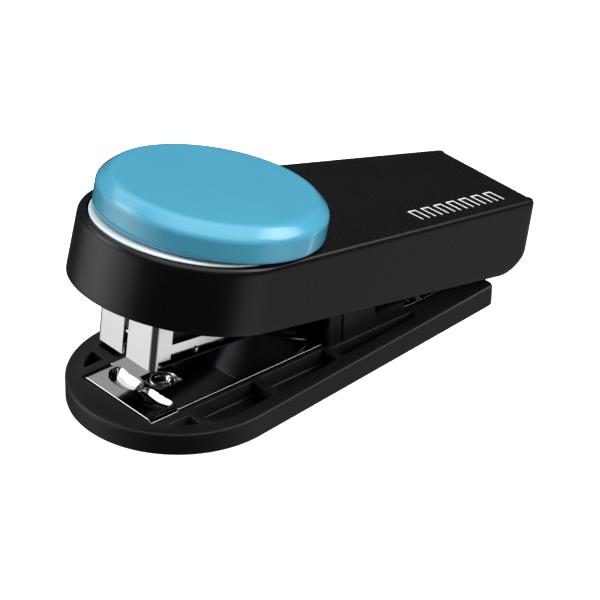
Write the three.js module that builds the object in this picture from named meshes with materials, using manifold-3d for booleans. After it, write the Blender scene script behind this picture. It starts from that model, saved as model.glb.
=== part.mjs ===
// Hand-pressed mini stapler. Millimetres, +Z up, front towards -Y.
// The origin is on the floor, under the centre of the base's round nose.
import * as THREE from "three";
import { mergeVertices } from "three/addons/utils/BufferGeometryUtils.js";
import Module from "manifold-3d";

const wasm = await Module();
wasm.setup();

// ---- driving dimensions ----
const noseRadius = 13.6; // base, seen from above
const baseRearHalf = 9.6;
const baseLength = 43.3; // nose centre to rear face
const baseHeight = 2.92;
const baseCorner = 1.05;
const baseFoot = 0.06; // the shell stands this far above the pad's underside
const rimWidth = 2.15;
const pocketFloor = 0.85;
const gap = 0.3; // between parts that touch
const plateGap = 0.15; // round the plate in its recess

const plateHalf = 6.5;
const plateTop = 3.09;
const plateThick = 1.2;
const plateFront = -9.45;
const plateCorner = 0.25;
const grooveX = 2.65;
const grooveY = -6.45;
const grooveRadii = [2.6, 1.35, 0.45]; // the two grooves that clinch the staple's legs
const anvilRivetY = -2.7;

const pinRadius = 1.2;
const boreRadius = pinRadius + gap;
const pinY = baseLength - 2.8;
const pinZ = 7.5;

const channelTilt = 6.58; // degrees, nose up
const channelHalf = 5.18; // outside
const channelWall = 0.4;
const channelFront = pinY + 8.14; // pin axis to the front flaps
const channelBottom = -3.39;
const channelTop = 2.1;
const flapBottom = -4.46;
const floorThick = 0.42;
const legRoom = 1.58; // room for a staple's legs, from rail to channel wall
const railHalf = channelHalf - channelWall - legRoom;
const railTop = 1.2;
const railWall = 0.4;
const rodRadius = 0.5;
const rodZ = -0.4;
const pusherLength = 8.5;

const coverTilt = 12.28;
const coverRise = 6.63; // pin axis to the cover's top plane
const coverReach = pinY; // pin axis to the centre of the cover's nose
const coverRadius = noseRadius + 0.04;
const coverRearHalf = 8.75;
const coverLength = coverReach + 9.55;
const coverCorner = 1.6;
const coverBrow = 1.5; // rounding of the rear upper edge
const coverWall = 1.15;
const coverRoof = 1.6;
const coverDepthFront = 8.05;
const coverDepthRear = 9.8;
const coverHeel = 5.0; // rounding of the rear lower corner
const coverDraft = 0.35; // the side wall's foot stands this much further out

const seatRadius = coverRadius - 1.08;
const capRadius = coverRadius + 0.22;
const capBack = 2.32; // cap centre behind the centre of the cover's nose
const capLift = 0.41;
const capTop = 4.63;

// ---- materials ----
const look = (color, roughness, metalness) => () =>
  new THREE.MeshStandardMaterial({ color, roughness, metalness });
const blackPlastic = look(0x1a1a1b, 0.5, 0);
const darkPlastic = look(0x101011, 0.6, 0);
const bluePlastic = look(0x3f9ab5, 0.18, 0);
const whitePlastic = look(0xdfe9ee, 0.35, 0);
const rubber = look(0x161616, 0.85, 0);
const polishedSteel = look(0xd6d8da, 0.14, 1);
const brushedSteel = look(0xa9acb0, 0.32, 1);
const springSteel = look(0x8f9398, 0.28, 1);

// ---- solids from three.js geometry ----
function solidOf(geometry) {
  const plain = new THREE.BufferGeometry().setAttribute(
    "position",
    (geometry.index ? geometry.toNonIndexed() : geometry).getAttribute("position"),
  );
  const merged = mergeVertices(plain, 1e-4);
  const made = new wasm.Manifold(
    new wasm.Mesh({
      numProp: 3,
      vertProperties: merged.attributes.position.array,
      triVerts: new Uint32Array(merged.index.array),
    }),
  );
  if (made.volume() <= 0) throw new Error("a solid is inside out");
  return made;
}

function geometryOf(solid) {
  const m = solid.getMesh();
  const flat = new Float32Array(m.numVert * 3);
  for (let i = 0; i < m.numVert; i++)
    flat.set(m.vertProperties.subarray(i * m.numProp, i * m.numProp + 3), i * 3);
  const indexed = new THREE.BufferGeometry()
    .setAttribute("position", new THREE.BufferAttribute(flat, 3))
    .setIndex(new THREE.BufferAttribute(m.triVerts, 1));
  const sharp = indexed.toNonIndexed();
  sharp.computeVertexNormals();
  return sharp;
}

const join = (...solids) => solids.reduce((a, b) => a.add(b));
const cut = (solid, ...tools) => tools.reduce((a, b) => a.subtract(b), solid);
const spin = (geometry, x, y, z) => {
  geometry.applyMatrix4(new THREE.Matrix4().makeRotationFromEuler(new THREE.Euler(x, y, z)));
  return geometry;
};

function block(x0, x1, y0, y1, z0, z1) {
  const g = new THREE.BoxGeometry(x1 - x0, y1 - y0, z1 - z0);
  g.translate((x0 + x1) / 2, (y0 + y1) / 2, (z0 + z1) / 2);
  return solidOf(g);
}

// A round bar along an axis, from a to b on that axis; p and q place it on the two others.
function bar(axis, radius, a, b, p, q, sides = 28) {
  const g = new THREE.CylinderGeometry(radius, radius, b - a, sides);
  if (axis === "x") spin(g, 0, 0, -Math.PI / 2).translate((a + b) / 2, p, q);
  if (axis === "y") g.translate(p, (a + b) / 2, q);
  if (axis === "z") spin(g, Math.PI / 2, 0, 0).translate(p, q, (a + b) / 2);
  return solidOf(g);
}

const shapeOf = (points) => new THREE.Shape(points.map(([a, b]) => new THREE.Vector2(a, b)));

function prism(shape, depth) {
  return new THREE.ExtrudeGeometry(shape, { depth, bevelEnabled: false, curveSegments: 12 });
}

// A profile of (y, z) points carried from x0 to x1.
function sideProfile(points, x0, x1) {
  const g = prism(shapeOf(points), x1 - x0);
  const turn = new THREE.Matrix4().makeBasis(
    new THREE.Vector3(0, 1, 0),
    new THREE.Vector3(0, 0, 1),
    new THREE.Vector3(1, 0, 0),
  );
  return solidOf(g.applyMatrix4(turn).translate(x0, 0, 0));
}

// A profile of (x, y) points carried from z0 to z1.
const plan = (points, z0, z1) => solidOf(prism(shapeOf(points), z1 - z0).translate(0, 0, z0));

// A lathe profile of [radius, z] pairs, from the axis round to the axis, outside upwards.
function turned(pairs, sides = 64) {
  const g = new THREE.LatheGeometry(
    pairs.map(([r, z]) => new THREE.Vector2(r, z)),
    sides,
  );
  return spin(g, Math.PI / 2, 0, 0);
}

// Rings of equal length, lowest first and counter-clockwise, skinned and capped.
function loft(rings) {
  const n = rings[0].length;
  const points = [];
  const faces = [];
  for (const ring of rings) for (const p of ring) points.push(...p);
  for (let k = 0; k + 1 < rings.length; k++)
    for (let i = 0; i < n; i++) {
      const a = k * n + i;
      const b = k * n + ((i + 1) % n);
      faces.push(a, b, b + n, a, b + n, a + n);
    }
  const flat = rings[0].map(([x, y]) => new THREE.Vector2(x, y));
  for (const [a, b, c] of THREE.ShapeUtils.triangulateShape(flat, [])) {
    const top = (rings.length - 1) * n;
    faces.push(c, b, a, a + top, b + top, c + top);
  }
  const g = new THREE.BufferGeometry();
  g.setAttribute("position", new THREE.BufferAttribute(new Float32Array(points), 3));
  g.setIndex(faces);
  return solidOf(g);
}

// Outline seen from above: a round nose about the origin, straight sides,
// and a square rear with rounded corners.
function outline(radius, rearHalf, length, corner, inset, z, noseSteps = 40) {
  const reach = Math.hypot(rearHalf, length);
  const phi = Math.atan2(length, rearHalf) - Math.acos(radius / reach);
  const round = Math.max(corner, inset + 0.3);
  const cy = length - round;
  const cx = (radius - round - cy * Math.sin(phi)) / Math.cos(phi);
  const r = radius - inset;
  const c = round - inset;
  const right = [];
  const start = [r * Math.cos(phi), r * Math.sin(phi)];
  const end = [cx + c * Math.cos(phi), cy + c * Math.sin(phi)];
  for (let i = 0; i < 6; i++)
    right.push([
      start[0] + ((end[0] - start[0]) * i) / 6,
      start[1] + ((end[1] - start[1]) * i) / 6,
      z,
    ]);
  for (let i = 0; i <= 5; i++) {
    const a = phi + ((Math.PI / 2 - phi) * i) / 5;
    right.push([cx + c * Math.cos(a), cy + c * Math.sin(a), z]);
  }
  const left = right.map(([x, y]) => [-x, y, z]).reverse();
  const nose = [];
  for (let i = 1; i < noseSteps; i++) {
    const a = Math.PI - phi + ((Math.PI + 2 * phi) * i) / noseSteps;
    nose.push([r * Math.cos(a), r * Math.sin(a), z]);
  }
  return [...right, ...left, ...nose];
}

const baseOutline = (inset, z) =>
  outline(noseRadius, baseRearHalf, baseLength, baseCorner, inset, z);
const coverOutline = (inset, z) =>
  outline(coverRadius, coverRearHalf, coverLength, coverCorner, inset, z);

// A round wire of the given radius swept along a list of points.
function wire(points, radius, steps, sides = 6) {
  const path = new THREE.CatmullRomCurve3(points.map((p) => new THREE.Vector3(...p)));
  const ring = [];
  for (let i = 0; i < sides; i++) {
    const a = (i / sides) * 2 * Math.PI;
    ring.push([radius * Math.cos(a), radius * Math.sin(a)]);
  }
  return new THREE.ExtrudeGeometry(shapeOf(ring), { steps, extrudePath: path });
}

// ---- groups ----
const stapler = new THREE.Group();
stapler.name = "mini_stapler";
const magazine = new THREE.Group(); // y along the channel, measured from the pin
magazine.position.set(0, pinY, pinZ);
magazine.rotation.x = THREE.MathUtils.degToRad(-channelTilt);
const cover = new THREE.Group(); // y along the cover, measured from the pin
cover.position.set(0, pinY, pinZ);
cover.rotation.x = THREE.MathUtils.degToRad(-coverTilt);
stapler.add(magazine, cover);

function part(parent, name, made, material) {
  const geometry = made.isBufferGeometry ? made : geometryOf(made);
  const mesh = new THREE.Mesh(geometry, material());
  mesh.name = name;
  parent.add(mesh);
}

// ---- base ----
const seatZ = plateTop - plateThick - gap; // floor under the plate
const plateRear = pinY - 2.2;
const wallInner = plateHalf + plateGap;
const wallOuter = wallInner + 0.55;
const postFront = 17.5;

function pocket(x0, y0, y1) {
  const inside = plan(baseOutline(rimWidth, 0), pocketFloor, baseHeight + 1);
  return [1, -1].map((s) => {
    const xs = s > 0 ? [x0, 20] : [-20, -x0];
    return inside.intersect(block(xs[0], xs[1], y0, y1, 0, baseHeight + 2));
  });
}

const baseBody = loft([
  baseOutline(0.16, baseFoot),
  baseOutline(0.04, baseFoot + 0.12),
  baseOutline(0, baseFoot + 0.3),
  baseOutline(0, baseHeight - 0.22),
  baseOutline(0.07, baseHeight - 0.06),
  baseOutline(0.25, baseHeight),
]);

function post(side) {
  const at = (x0, x1, ...rest) =>
    side > 0 ? block(x0, x1, ...rest) : block(-x1, -x0, ...rest);
  return join(
    at(wallInner, wallInner + 0.62, postFront, postFront + 1.95, 1.5, 9.9),
    at(wallInner, wallInner + 0.4, postFront + 1.8, postFront + 2.4, 1.5, 9.9),
    at(wallInner, wallInner + 0.72, postFront + 2.15, postFront + 7.4, 1.5, 9.9),
    at(wallInner, wallInner + 0.6, postFront + 7.2, postFront + 12.4, 1.5, 4.5),
  );
}

const baseShell = cut(
  join(
    cut(
      baseBody,
      block(-wallInner, wallInner, plateFront - plateGap, plateRear + gap, seatZ, baseHeight + 1),
      ...pocket(wallOuter + 0.85, -8.2, -5),
      ...pocket(wallOuter, -3.7, 5.4),
      ...pocket(wallOuter, 6.35, 16.4),
      ...pocket(wallOuter + 0.5, 17.4, 30.5),
    ),
    post(1),
    post(-1),
  ),
  block(-wallInner - 0.2, wallInner + 0.2, -8.4, baseLength - 3.6, -1, seatZ - 0.75),
  bar("z", 1.1, -1, 4, 0, anvilRivetY),
);
part(stapler, "base_shell", baseShell, blackPlastic);

part(
  stapler,
  "base_sole",
  cut(
    block(-wallInner + 0.1, wallInner - 0.1, -8.1, baseLength - 3.9, 0, seatZ - 0.75 - gap),
    bar("z", 1.9, -1, 0.6 - 0.25, 0, 30),
  ),
  rubber,
);

const rivetShank = 0.65;
const rivetHole = rivetShank + gap;
const leafRivetY = postFront + 2.5;
const bracketRivetX = 3;
const bracketRivetY = pinY - 4.9;
const groove = (side) => {
  const g = new THREE.SphereGeometry(1, 24, 12).scale(...grooveRadii);
  return solidOf(g.translate(side * grooveX, grooveY, plateTop));
};
const platePoints = [];
for (const [cx, cy, a0] of [
  [plateHalf - plateCorner, plateFront + plateCorner, -90],
  [plateHalf - plateCorner, plateRear - plateCorner, 0],
  [-plateHalf + plateCorner, plateRear - plateCorner, 90],
  [-plateHalf + plateCorner, plateFront + plateCorner, 180],
])
  for (let i = 0; i <= 4; i++) {
    const a = THREE.MathUtils.degToRad(a0 + 22.5 * i);
    platePoints.push([cx + plateCorner * Math.cos(a), cy + plateCorner * Math.sin(a)]);
  }
part(
  stapler,
  "anvil_plate",
  cut(
    plan(platePoints, plateTop - plateThick, plateTop),
    groove(1),
    groove(-1),
    bar("z", 1.1, 0, 5, 0, anvilRivetY),
    bar("z", 1.75, plateTop - 0.74, 5, 0, anvilRivetY),
    bar("z", rivetHole, 0, 5, 0, leafRivetY),
    ...[-1, 1].map((side) => bar("z", rivetHole, 0, 5, side * bracketRivetX, bracketRivetY)),
  ),
  polishedSteel,
);

part(
  stapler,
  "anvil_rivet",
  turned([
    [0, seatZ - 0.6],
    [0.8, seatZ - 0.6],
    [0.8, plateTop - 0.44],
    [1.45, plateTop - 0.44],
    [1.45, plateTop - 0.12],
    [1.3, plateTop - 0.02],
    [0.7, plateTop - 0.06],
    [0, plateTop - 0.16],
  ], 32).translate(0, anvilRivetY, 0),
  brushedSteel,
);

// A point of the channel's own frame, as [y, z] on the base.
const tilt = THREE.MathUtils.degToRad(channelTilt);
const fromChannel = (y, z) => [
  pinY + y * Math.cos(tilt) + z * Math.sin(tilt),
  pinZ - y * Math.sin(tilt) + z * Math.cos(tilt),
];

// The return leaf lies flat on the plate, rises forward, and ends in a long pad under the channel.
const leafLow = plateTop + gap;
const leafThick = 0.25;
const leafHalf = channelHalf - 0.18;
const leafLine = [
  [postFront + 5.5, leafLow],
  [postFront - 1.3, leafLow],
  [postFront - 2.2, leafLow + 0.2],
  fromChannel(-channelFront + 16.9, channelBottom - 0.85),
  fromChannel(-channelFront + 15.6, channelBottom - 0.6),
  fromChannel(-channelFront + 2.4, channelBottom - 1.02),
  fromChannel(-channelFront + 1.8, channelBottom - 1.08),
];
function strip(line, thickness, x0, x1) {
  const upper = line.map(([y, z], i) => {
    const [a, b] = [line[Math.max(i - 1, 0)], line[Math.min(i + 1, line.length - 1)]];
    const d = Math.hypot(b[0] - a[0], b[1] - a[1]);
    return [y + ((b[1] - a[1]) / d) * thickness, z - ((b[0] - a[0]) / d) * thickness];
  });
  return sideProfile([...line, ...upper.reverse()].reverse(), x0, x1);
}
part(
  stapler,
  "return_leaf",
  cut(
    strip(leafLine, leafThick, -leafHalf, leafHalf),
    bar("z", rivetHole, 0, 12, 0, leafRivetY),
  ),
  springSteel,
);

const rivet = (x, y, shankBottom, headBottom, headTop, headRadius, shankRadius) =>
  turned([
    [0, shankBottom],
    [shankRadius, shankBottom],
    [shankRadius, headBottom],
    [headRadius, headBottom],
    [headRadius, headTop - 0.08],
    [headRadius - 0.25, headTop],
    [0, headTop],
  ], 28).translate(x, y, 0);
part(
  stapler,
  "leaf_rivet",
  rivet(0, leafRivetY, plateTop - plateThick, leafLow + 0.55, leafLow + 0.78, 1.5, rivetShank),
  brushedSteel,
);

// The bracket stands on the plate; its two ears carry the pin.
const bracketLow = plateTop + gap;
const earInner = channelHalf + 0.42;
const earOuter = earInner + 0.7;
const earProfile = [[pinY - 4.2, bracketLow]];
for (let i = 0; i <= 12; i++) {
  const a = Math.PI - (i / 12) * (Math.PI + 0.35);
  earProfile.push([pinY + 2.5 * Math.cos(a), pinZ + 2.5 * Math.sin(a)]);
}
earProfile.push([pinY + 1.0, bracketLow]);
earProfile.reverse();
part(
  stapler,
  "hinge_bracket",
  cut(
    join(
      block(-earOuter, earOuter, pinY - 6.6, pinY + 1.0, bracketLow, bracketLow + 0.5),
      sideProfile(earProfile, earInner, earOuter),
      sideProfile(earProfile, -earOuter, -earInner),
    ),
    bar("x", boreRadius, -9, 9, pinY, pinZ),
    ...[-1, 1].map((side) => bar("z", rivetHole, 0, 5, side * bracketRivetX, bracketRivetY)),
  ),
  brushedSteel,
);
for (const [name, side] of [["bracket_rivet_left", -1], ["bracket_rivet_right", 1]])
  part(
    stapler,
    name,
    rivet(
      side * bracketRivetX,
      bracketRivetY,
      plateTop - plateThick,
      bracketLow + 0.8,
      bracketLow + 1.05,
      1.3,
      rivetShank,
    ),
    brushedSteel,
  );

const pinHalf = 8.05;
part(stapler, "hinge_pin", bar("x", pinRadius, -pinHalf, pinHalf, pinY, pinZ), polishedSteel);

// ---- magazine ----
const wallIn = channelHalf - channelWall;
const flapBack = -channelFront + channelWall;
const headRear = -channelFront + 2.75; // the tall front part ends here

function headSection(half, front, rear, corner) {
  const pts = [];
  for (const [cx, a0] of [[-half + corner, 180], [half - corner, 270]])
    for (let i = 0; i <= 6; i++) {
      const a = THREE.MathUtils.degToRad(a0 + 15 * i);
      pts.push([cx + corner * Math.cos(a), front + corner + corner * Math.sin(a)]);
    }
  pts.push([half, rear], [-half, rear]);
  return pts;
}
const channelHead = cut(
  plan(headSection(channelHalf, -channelFront, headRear, 0.85), flapBottom, channelTop + 0.5),
  plan(headSection(wallIn, flapBack, headRear + 1, 0.45), flapBottom - 1, channelTop + 1),
  block(-0.34, 0.51, -channelFront - 1, flapBack + 0.1, flapBottom - 1, channelTop + 1),
  block(-6, 6, -channelFront + 0.95, headRear + 1, flapBottom - 1, channelBottom),
);
const sideLine = [[headRear - 0.2, channelBottom], [-3.4, channelBottom]];
for (let i = 0; i <= 14; i++) {
  const a = -Math.PI / 2 + (i / 14) * Math.PI;
  sideLine.push([2.5 * Math.cos(a), 2.5 * Math.sin(a)]);
}
sideLine.push([-3.4, channelTop], [headRear - 0.2, channelTop]);
const windowRear = -channelFront + 11;
const windowLow = -1.54;
const windowHigh = 1.35;
const channelSide = (x0, x1) => sideProfile(sideLine, x0, x1);
const railRivetY = -channelFront + 18.3;
const floorTop = channelBottom + floorThick;
part(
  magazine,
  "magazine_channel",
  cut(
    join(
      channelHead,
      channelSide(wallIn, channelHalf),
      channelSide(-channelHalf, -wallIn),
      block(-channelHalf, channelHalf, -channelFront + 2.1, -6.2, channelBottom, floorTop),
    ),
    block(-channelHalf - 1, channelHalf + 1, headRear + 0.05, windowRear, windowLow, windowHigh),
    bar("x", boreRadius, -9, 9, 0, 0),
    bar("z", 0.9, -5, 0, 0, railRivetY),
  ),
  polishedSteel,
);

const railBottom = floorTop + gap;
const railFront = -channelFront + 2.4;
const railRear = -7.8;
part(
  magazine,
  "staple_rail",
  cut(
    block(-railHalf, railHalf, railFront, railRear, railBottom, railTop),
    block(-railHalf + railWall, railHalf - railWall, railFront + railWall, 0, railBottom + railWall, 3),
    bar("z", 0.9, -5, 0, 0, railRivetY),
  ),
  brushedSteel,
);
part(
  magazine,
  "rail_rivet",
  turned([
    [0, channelBottom - 0.55],
    [0.85, channelBottom - 0.55],
    [1.35, channelBottom - 0.42],
    [1.35, channelBottom - 0.3],
    [0.6, channelBottom - 0.3],
    [0.6, railBottom + 0.7],
    [1.3, railBottom + 0.7],
    [1.3, railBottom + 0.88],
    [0, railBottom + 0.88],
  ], 28).translate(0, railRivetY, 0),
  brushedSteel,
);

const rodRear = railRear + 0.9;
part(magazine, "spring_rod", bar("y", rodRadius, railFront + 0.75, rodRear, 0, rodZ, 20), polishedSteel);
const anchorHalf = railHalf - railWall - gap;
const anchorFront = railRear - 1.2;
part(
  magazine,
  "rod_anchor",
  cut(
    block(-anchorHalf, anchorHalf, anchorFront, anchorFront + 1.8, railBottom + 0.72, railTop - 0.2),
    bar("y", rodRadius + gap, anchorFront - 1, 0, 0, rodZ, 20),
  ),
  darkPlastic,
);

// The pusher straddles the rail; its tongue runs on the rod.
const pusherFront = -channelFront + 1.75;
const pusherRear = pusherFront + pusherLength;
const pusherHalf = wallIn - 0.33;
const saddleHalf = railHalf + gap;
const saddleTop = railTop + gap;
part(
  magazine,
  "staple_pusher",
  cut(
    join(
      cut(
        block(-pusherHalf, pusherHalf, pusherFront, pusherRear, railBottom + 0.05, saddleTop + 0.45),
        block(-saddleHalf, saddleHalf, pusherFront - 1, pusherRear + 1, railBottom - 1, saddleTop),
      ),
      block(-1.7, 1.7, pusherRear - 4.2, pusherRear, -1.25, saddleTop + 0.2),
    ),
    bar("y", rodRadius + 0.32, pusherFront - 1, pusherRear + 1, 0, rodZ, 20),
  ),
  darkPlastic,
);

const coil = (turns, radius, a, b, place, per = 12) => {
  const pts = [];
  for (let i = 0; i <= turns * per; i++) {
    const t = (i / per) * 2 * Math.PI;
    pts.push(place(radius * Math.cos(t), radius * Math.sin(t), a + ((b - a) * i) / (turns * per)));
  }
  return pts;
};
const feedTurns = 14;
const feedRadius = rodRadius + 0.65;
part(
  magazine,
  "pusher_spring",
  wire(
    coil(feedTurns, feedRadius, pusherRear + 0.52, anchorFront - 0.52, (p, q, s) => [p, s, rodZ + q]),
    0.2,
    feedTurns * 12,
  ),
  springSteel,
);

const sleeveRadius = boreRadius + 0.55;
const sleeveHalf = wallIn - 0.48;
part(
  magazine,
  "pin_sleeve",
  cut(
    bar("x", sleeveRadius, -sleeveHalf, sleeveHalf, 0, 0),
    bar("x", boreRadius, -sleeveHalf - 1, sleeveHalf + 1, 0, 0),
  ),
  darkPlastic,
);

// Coil round the sleeve: one leg presses up under the roof, the other down on the channel's floor.
const liftRadius = sleeveRadius + 0.55;
const liftHalf = sleeveHalf - 0.6;
const legX = liftHalf + 0.15;
const legZ = floorTop + 0.62;
const lean = THREE.MathUtils.degToRad(coverTilt - channelTilt);
const underRoof = (y) => (coverRise - coverRoof) / Math.cos(lean) - y * Math.tan(lean) - 0.6;
part(
  magazine,
  "torsion_spring",
  wire(
    [
      [-legX, -12, legZ],
      [-legX, -7, legZ],
      [-legX, -3, 0.1 - liftRadius],
      ...coil(4.5, liftRadius, -liftHalf, liftHalf, (p, q, s) => [s, q, -p], 14),
      [legX, -3, liftRadius + 0.35],
      [legX, -6.5, (liftRadius + underRoof(-6.5)) / 2 + 0.5],
      [legX, -11.5, underRoof(-11.5)],
    ],
    0.22,
    110,
  ),
  springSteel,
);

// ---- cover ----
const top = coverRise;
const slope = (coverDepthRear - coverDepthFront) / (coverLength + coverRadius);
const edgeAt = (y) => -coverDepthFront - slope * (y + coverReach + coverRadius);
const heelY = coverLength - coverReach - coverHeel;
const coverSide = [[-coverReach - 20, 3]];
coverSide.push([-coverReach - 20, edgeAt(-coverReach - 20)]);
for (let i = 0; i <= 10; i++) {
  const a = -Math.PI / 2 + (i / 10) * (Math.PI / 2);
  coverSide.push([
    heelY + (coverHeel + coverDraft / 3) * Math.cos(a),
    edgeAt(heelY) + coverHeel + coverHeel * Math.sin(a),
  ]);
}
const rearY = coverLength - coverReach;
for (let i = 0; i <= 8; i++) {
  const a = (i / 8) * (Math.PI / 2);
  coverSide.push([
    rearY + 0.03 + coverBrow * (Math.cos(a) - 1),
    coverBrow * (Math.sin(a) - 1),
  ]);
}
coverSide.push([rearY - coverBrow - 3, 3]);

const coverOuter = loft([
  coverOutline(-coverDraft, -13),
  coverOutline(0, -0.85),
  coverOutline(0.05, -0.5),
  coverOutline(0.18, -0.22),
  coverOutline(0.4, -0.06),
  coverOutline(0.66, 0),
]).translate(0, -coverReach, 0);
const coverInner = loft([
  coverOutline(coverWall - coverDraft, -14),
  coverOutline(coverWall + 0.08, -coverRoof),
]).translate(0, -coverReach, 0);

// Bosses on the side walls take the pin's ends.
const bossInner = earOuter + 0.55;
function boss(side) {
  const xs = side > 0 ? [bossInner, 9.2] : [-9.2, -bossInner];
  return join(
    bar("x", 2.6, xs[0], xs[1], 0, -coverRise),
    block(xs[0], xs[1], -2.6, 2.6, -coverRise, -1),
  ).intersect(coverOuter);
}
const seatY = -coverReach - 0.1;
const capY = -coverReach + capBack;
const bladeRivetY = -coverReach - 3.9;
const bladeRivetX = 2.3;
const coverShell = cut(
  join(
    cut(coverOuter, coverInner).intersect(sideProfile(coverSide, -30, 30)),
    boss(1),
    boss(-1),
  ),
  bar("z", seatRadius, -0.8, 1, 0, seatY, 72),
  bar("x", boreRadius, -pinHalf - gap, pinHalf + gap, 0, -coverRise),
  bar("z", 1.3, -3, 1, 0, capY),
  ...[-1, 1].map((side) =>
    bar("z", 0.8, -3, -coverRoof + 0.45, side * bladeRivetX, bladeRivetY, 20),
  ),
).translate(0, 0, coverRise);
part(cover, "cover_shell", coverShell, blackPlastic);

const ringOut = seatRadius - gap;
part(
  cover,
  "seat_ring",
  turned([
    [8.6, top - 0.5],
    [ringOut, top - 0.5],
    [ringOut, top - 0.06],
    [ringOut - 0.12, top + 0.06],
    [8.6, top + 0.06],
    [8.6, top - 0.5],
  ], 72).translate(0, seatY, 0),
  whitePlastic,
);

const capEdge = capRadius;
part(
  cover,
  "button_cap",
  turned([
    [1.3, top + capLift + 0.1],
    [3.1, top + capLift + 0.1],
    [3.1, top + 3.2],
    [capEdge - 1.4, top + 3.2],
    [capEdge - 1.3, top + capLift],
    [capEdge - 0.12, top + capLift],
    [capEdge, top + capLift + 0.14],
    [capEdge, top + 2.5],
    [capEdge - 0.06, top + 3.1],
    [capEdge - 0.24, top + 3.65],
    [capEdge - 0.5, top + 4.1],
    [capEdge - 0.8, top + 4.42],
    [capEdge - 1.02, top + 4.56],
    [capEdge - 1.5, top + capTop],
    [0, top + capTop + 0.03],
    [0, top + 3.4],
    [1.3, top + 3.4],
    [1.3, top + capLift + 0.1],
  ], 80).translate(0, capY, 0),
  bluePlastic,
);

const roofZ = top - coverRoof;
part(
  cover,
  "cap_screw",
  turned([
    [0, roofZ - 0.95],
    [0.55, roofZ - 0.95],
    [0.55, roofZ - 1.3],
    [1.7, roofZ - 1.3],
    [2.0, roofZ - 1.1],
    [2.0, roofZ - 0.45],
    [1.0, roofZ - 0.45],
    [1.0, top + 3.0],
    [0, top + 3.0],
  ], 28).translate(0, capY, 0),
  brushedSteel,
);

// The blade is bent over at the top; its tab hangs from the roof on two rivets.
const bladeFront = -channelFront + 0.62;
const bladeHalf = wallIn - 0.58;
const bladeThick = 0.5;
const tabTop = roofZ - 0.35;
part(
  cover,
  "driver_blade",
  cut(
    join(
      block(-bladeHalf, bladeHalf, bladeFront, bladeFront + bladeThick, -2.58, tabTop),
      block(-bladeHalf, bladeHalf, bladeFront, bladeFront + 6.2, tabTop - 0.45, tabTop),
    ),
    ...[-1, 1].map((side) => bar("z", 0.8, 0, 9, side * bladeRivetX, bladeRivetY, 20)),
  ),
  brushedSteel,
);
for (const [name, side] of [["blade_rivet_left", -1], ["blade_rivet_right", 1]])
  part(
    cover,
    name,
    turned([
      [0, tabTop - 0.95],
      [0.75, tabTop - 0.95],
      [0.95, tabTop - 0.88],
      [0.95, tabTop - 0.75],
      [0.5, tabTop - 0.75],
      [0.5, roofZ + 0.15],
      [0, roofZ + 0.15],
    ], 24).translate(side * bladeRivetX, bladeRivetY, 0),
    brushedSteel,
  );

export default stapler;
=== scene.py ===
import math

import bmesh
import bpy
from mathutils import Matrix, Vector
from mathutils.kdtree import KDTree


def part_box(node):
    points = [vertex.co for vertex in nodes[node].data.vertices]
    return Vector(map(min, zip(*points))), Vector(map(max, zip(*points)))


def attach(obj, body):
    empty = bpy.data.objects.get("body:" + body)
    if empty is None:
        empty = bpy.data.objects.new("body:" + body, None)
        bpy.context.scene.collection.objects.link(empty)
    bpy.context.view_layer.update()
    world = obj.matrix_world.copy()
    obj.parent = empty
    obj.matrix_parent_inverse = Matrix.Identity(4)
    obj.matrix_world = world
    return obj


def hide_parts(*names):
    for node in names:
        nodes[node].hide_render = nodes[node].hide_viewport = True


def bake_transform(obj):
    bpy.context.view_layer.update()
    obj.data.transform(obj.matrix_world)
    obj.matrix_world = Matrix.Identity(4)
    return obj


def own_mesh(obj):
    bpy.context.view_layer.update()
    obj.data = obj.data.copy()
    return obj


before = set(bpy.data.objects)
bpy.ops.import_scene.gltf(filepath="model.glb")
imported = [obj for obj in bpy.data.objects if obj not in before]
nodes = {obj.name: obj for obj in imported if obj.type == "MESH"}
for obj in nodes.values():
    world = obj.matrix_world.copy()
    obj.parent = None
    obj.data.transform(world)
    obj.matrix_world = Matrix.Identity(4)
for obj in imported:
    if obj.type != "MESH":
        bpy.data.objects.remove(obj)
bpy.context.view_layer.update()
scene = bpy.context.scene
print("frame loaded:", len(nodes), "nodes")

mm = 0.001
toMetres = Matrix.Scale(mm, 4)


# Places.
pinLow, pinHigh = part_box("hinge_pin")
pin = (pinLow + pinHigh) / 2
pinY = pin.y / mm
coverTilt = math.radians(12.28)
channelTilt = math.radians(6.58)
basePlace = toMetres
coverPlace = Matrix.Translation(pin) @ Matrix.Rotation(-coverTilt, 4, "X") @ toMetres
magazinePlace = Matrix.Translation(pin) @ Matrix.Rotation(-channelTilt, 4, "X") @ toMetres


def fromChannel(x, y, z):
    return magazinePlace @ Vector((x, y, z))


# Camera.
view = {
    "azimuth": 48.322,
    "elevation": 31.264,
    "roll": 1.006,
    "position": (0.234952, -0.190067, 0.196475),
    "lens": 180.41,
    "sensor": 36.0,
}
azimuth = math.radians(view["azimuth"])
elevation = math.radians(view["elevation"])
toCamera = Vector((
    math.sin(azimuth) * math.cos(elevation),
    -math.cos(azimuth) * math.cos(elevation),
    math.sin(elevation),
))
cameraData = bpy.data.cameras.new("camera")
cameraData.lens = view["lens"]
cameraData.sensor_width = view["sensor"]
cameraData.clip_start = 0.01
cameraData.clip_end = 20
camera = bpy.data.objects.new("camera", cameraData)
scene.collection.objects.link(camera)
look = (-toCamera).to_track_quat("-Z", "Y").to_matrix().to_4x4()
rollTurn = Matrix.Rotation(math.radians(view["roll"]), 4, "Z")
camera.matrix_world = Matrix.Translation(view["position"]) @ look @ rollTurn
scene.camera = camera
scene.view_settings.view_transform = "Standard"


# Shader node groups.
def linkTo(tree, source, target):
    tree.links.new(source, target)


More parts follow.
